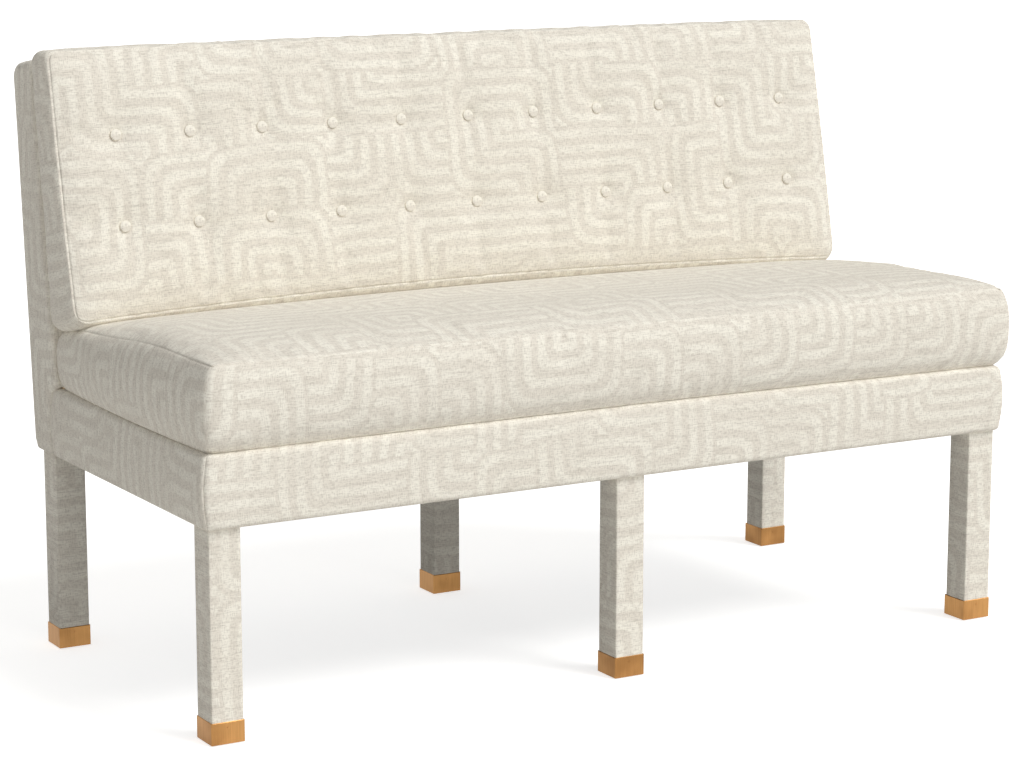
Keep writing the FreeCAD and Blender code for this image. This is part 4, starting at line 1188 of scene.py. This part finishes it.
# Button ties: waxed twine from each button through the pad and its panel, ending in a plastic
# toggle that bears on the panel's back.
twine = speckled_material("waxed_twine", srgb(214, 204, 178), srgb(182, 168, 138), 0.7, 0.0008, 0.0002)
toggle = speckled_material("white_plastic", srgb(224, 224, 218), srgb(208, 208, 202), 0.45, 0.002, 0.00003)
finish_nodes(("button_ties",), twine)
finish_nodes(("button_anchors",), toggle)


# Dust cover: black non-woven cloth cut round the legs, folded over at its edges and stapled
# under the rails, hanging a little in the middle of each half.
black_cloth = speckled_material(
    "black_dust_cloth", srgb(44, 43, 42), srgb(24, 24, 24), 0.95, 0.0011, 0.0003)
dust_low, dust_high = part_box("dust_cover")
dust_thickness = 0.0006
dust_sag = 0.005
dust_pitch = 0.012
dust_clear = 0.0008            # between the cut and a leg's cloth
staple_pitch = 0.045
staple_inset = 0.010
staple_width = 0.011
staple_wire = 0.0009


def dust_holes():
    """Low and high corners of the squares cut out for the legs."""
    holes = []
    for place in leg_places:
        low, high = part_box(place + "_ferrule")
        holes.append((low.x - dust_clear, low.y - dust_clear, high.x + dust_clear, high.y + dust_clear))
    return holes


def cut_lines(low, high, cuts):
    """Grid lines from low to high, with one at every cut."""
    edges = sorted({low, high} | {cut for cut in cuts if low < cut < high})
    lines = []
    for start, end in zip(edges[:-1], edges[1:]):
        steps = max(1, round((end - start) / dust_pitch))
        lines += list(np.linspace(start, end, steps + 1)[:-1])
    return np.array(lines + [high])


def dust_sheet():
    """The cover's grid, with the squares for the legs left out."""
    holes = dust_holes()
    across = cut_lines(dust_low.x, dust_high.x, [hole[side] for hole in holes for side in (0, 2)])
    along = cut_lines(dust_low.y, dust_high.y, [hole[side] for hole in holes for side in (1, 3)])
    x, y = np.meshgrid(across, along, indexing="ij")
    bay = np.sin(np.clip(np.abs(x) / dust_high.x, 0, 1) * math.pi) ** 0.7
    depth = np.sin((y - dust_low.y) / (dust_high.y - dust_low.y) * math.pi) ** 0.7
    wrinkle = 0.0003 * np.sin(x * 90 + y * 17) * np.sin(y * 60) * depth
    z = dust_low.z + 0.0004 - dust_sag * bay * depth + wrinkle
    middle_x = (x[:-1, :-1] + x[1:, 1:]).ravel() / 2
    middle_y = (y[:-1, :-1] + y[1:, 1:]).ravel() / 2
    kept = np.ones(len(middle_x), bool)
    for low_x, low_y, high_x, high_y in holes:
        kept &= ~((middle_x > low_x) & (middle_x < high_x) & (middle_y > low_y) & (middle_y < high_y))
    quads = cell_corners(np.arange(x.size).reshape(x.shape), True)[kept]
    used, numbers = np.unique(quads, return_inverse=True)
    piece = cloth_mesh(
        "dust_cloth_sheet", np.dstack([x, y, z]).reshape(-1, 3)[used], numbers.reshape(quads.shape),
        cell_corners(np.dstack([x, y]), True)[kept])
    piece.data.materials.clear()
    piece.data.materials.append(black_cloth)
    settle(piece, dust_thickness)
    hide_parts("dust_cover")


def staple_shape():
    """The part of a staple that shows: a thin bar whose ends bend up into the wood."""
    half, wire = staple_width / 2, staple_wire / 2
    inner, dip = half - 2 * wire, staple_wire
    outline = [(-half, dip), (-half, -wire), (half, -wire), (half, dip),
               (inner, dip), (inner, wire), (-inner, wire), (-inner, dip)]
    points = [(x, y, z) for y in (-wire, wire) for x, z in outline]
    count = len(outline)
    faces = [
        (step, step + count, (step + 1) % count + count, (step + 1) % count) for step in range(count)]
    for quad in ((0, 1, 6, 7), (1, 2, 5, 6), (2, 3, 4, 5)):
        faces += [quad, tuple(corner + count for corner in quad[::-1])]
    mesh = bpy.data.meshes.new("staple_shape")
    mesh.from_pydata(points, [], faces)
    return bpy.data.objects.new("staple_shape", mesh)


def staple_places():
    """Places and turns of the staples along the cover's four edges, clear of the legs."""
    places, turns = [], []
    height = dust_low.z - staple_wire / 2
    for along, fixed in ((0, dust_low.y + staple_inset), (0, dust_high.y - staple_inset),
                         (1, dust_low.x + staple_inset), (1, dust_high.x - staple_inset)):
        start, end = dust_low[along], dust_high[along]
        count = int((end - start) / staple_pitch)
        for step in range(count):
            at = start + (end - start) * (step + 0.5) / count
            x, y = (fixed, at) if along else (at, fixed)
            near_leg = any(
                low_x - staple_width < x < high_x + staple_width
                and low_y - staple_width < y < high_y + staple_width
                for low_x, low_y, high_x, high_y in dust_holes())
            if not near_leg:
                places.append((x, y, height))
                turns.append((0.0, 0.0, 0.12 * math.sin(step * 2.7 + fixed * 40) + along * math.pi / 2))
    return places, turns


dust_sheet()
repeats("dust_cover_staples", "fastener_steel", *staple_places(), staple_shape(), zinc)


# Stage: a pale floor that keeps the bench's shadow, soft studio light from the front right,
# a weaker fill from the front, and the camera at the photographed viewing angle.
floor_reach = 40.0
bpy.ops.mesh.primitive_plane_add(size=floor_reach)
floor = bpy.context.object
floor.name = "studio_floor"
floor_material, tree, shader, place = new_material("pale_floor", 0.9)
shader.inputs["Base Color"].default_value = srgb(236, 235, 233)
shader.inputs["Specular IOR Level"].default_value = 0.0
grain = stretched_noise(tree, place, (3.0, 3.0, 3.0), 2.0)
add_bump(tree, shader, grain, 0.0005, 0.1)
rays = add_node(tree, "ShaderNodeLightPath")
glow = add_node(tree, "ShaderNodeEmission", {"Color": (1.0, 1.0, 1.0, 1.0), "Strength": 0.72})
seen = calculate(tree, "MAXIMUM", rays.outputs["Is Camera Ray"], rays.outputs["Is Glossy Ray"])
dark = add_node(tree, "ShaderNodeEmission", {"Color": (0.0, 0.0, 0.0, 1.0), "Strength": 0.0})
shown = add_node(tree, "ShaderNodeMixShader", {0: seen, 1: dark.outputs[0], 2: glow.outputs[0]})
both = add_node(tree, "ShaderNodeAddShader", {0: shader.outputs[0], 1: shown.outputs[0]})
tree.links.new(both.outputs[0], tree.nodes["Material Output"].inputs["Surface"])
floor.data.materials.append(floor_material)

world = bpy.data.worlds.new("studio")
bpy.context.scene.world = world
world.use_nodes = True
sky = world.node_tree
backdrop = sky.nodes["Background"]
rays = add_node(sky, "ShaderNodeLightPath")
direct = calculate(sky, "MAXIMUM", rays.outputs["Is Camera Ray"], rays.outputs["Is Glossy Ray"])
direct = calculate(sky, "MAXIMUM", direct, rays.outputs["Is Transmission Ray"])
ambient = 0.295
level = add_node(sky, "ShaderNodeMapRange", {0: direct, 1: 0.0, 2: 1.0, 3: ambient, 4: 1.0})
backdrop.inputs["Color"].default_value = (1.0, 0.995, 0.985, 1.0)
sky.links.new(level.outputs[0], backdrop.inputs["Strength"])


def add_sun(name, azimuth, elevation, strength, spread, colour):
    """A soft distant lamp; azimuth is measured from the bench's front towards its right."""
    lamp = bpy.data.lights.new(name, "SUN")
    lamp.energy = strength
    lamp.angle = math.radians(spread)
    lamp.color = colour
    holder = bpy.data.objects.new(name, lamp)
    bpy.context.scene.collection.objects.link(holder)
    turn, rise = math.radians(azimuth), math.radians(elevation)
    towards = Vector((math.sin(turn) * math.cos(rise), -math.cos(turn) * math.cos(rise), math.sin(rise)))
    holder.rotation_euler = towards.to_track_quat("Z", "Y").to_euler()


add_sun("key_light", 36.0, 51.0, 1.95, 28.0, (1.0, 0.995, 0.985))
add_sun("front_fill", 4.0, 16.0, 0.40, 24.0, (1.0, 0.995, 0.98))

camera_data = bpy.data.cameras.new("camera")
camera = bpy.data.objects.new("camera", camera_data)
bpy.context.scene.collection.objects.link(camera)
camera.location = (-2.01810, -3.47428, 1.11511)
camera.rotation_euler = tuple(math.radians(angle) for angle in (79.1845, -0.0089, -29.9855))
camera_data.lens = 103.88
camera_data.sensor_width = 36.0
bpy.context.scene.camera = camera
bpy.context.scene.view_settings.view_transform = "Standard"
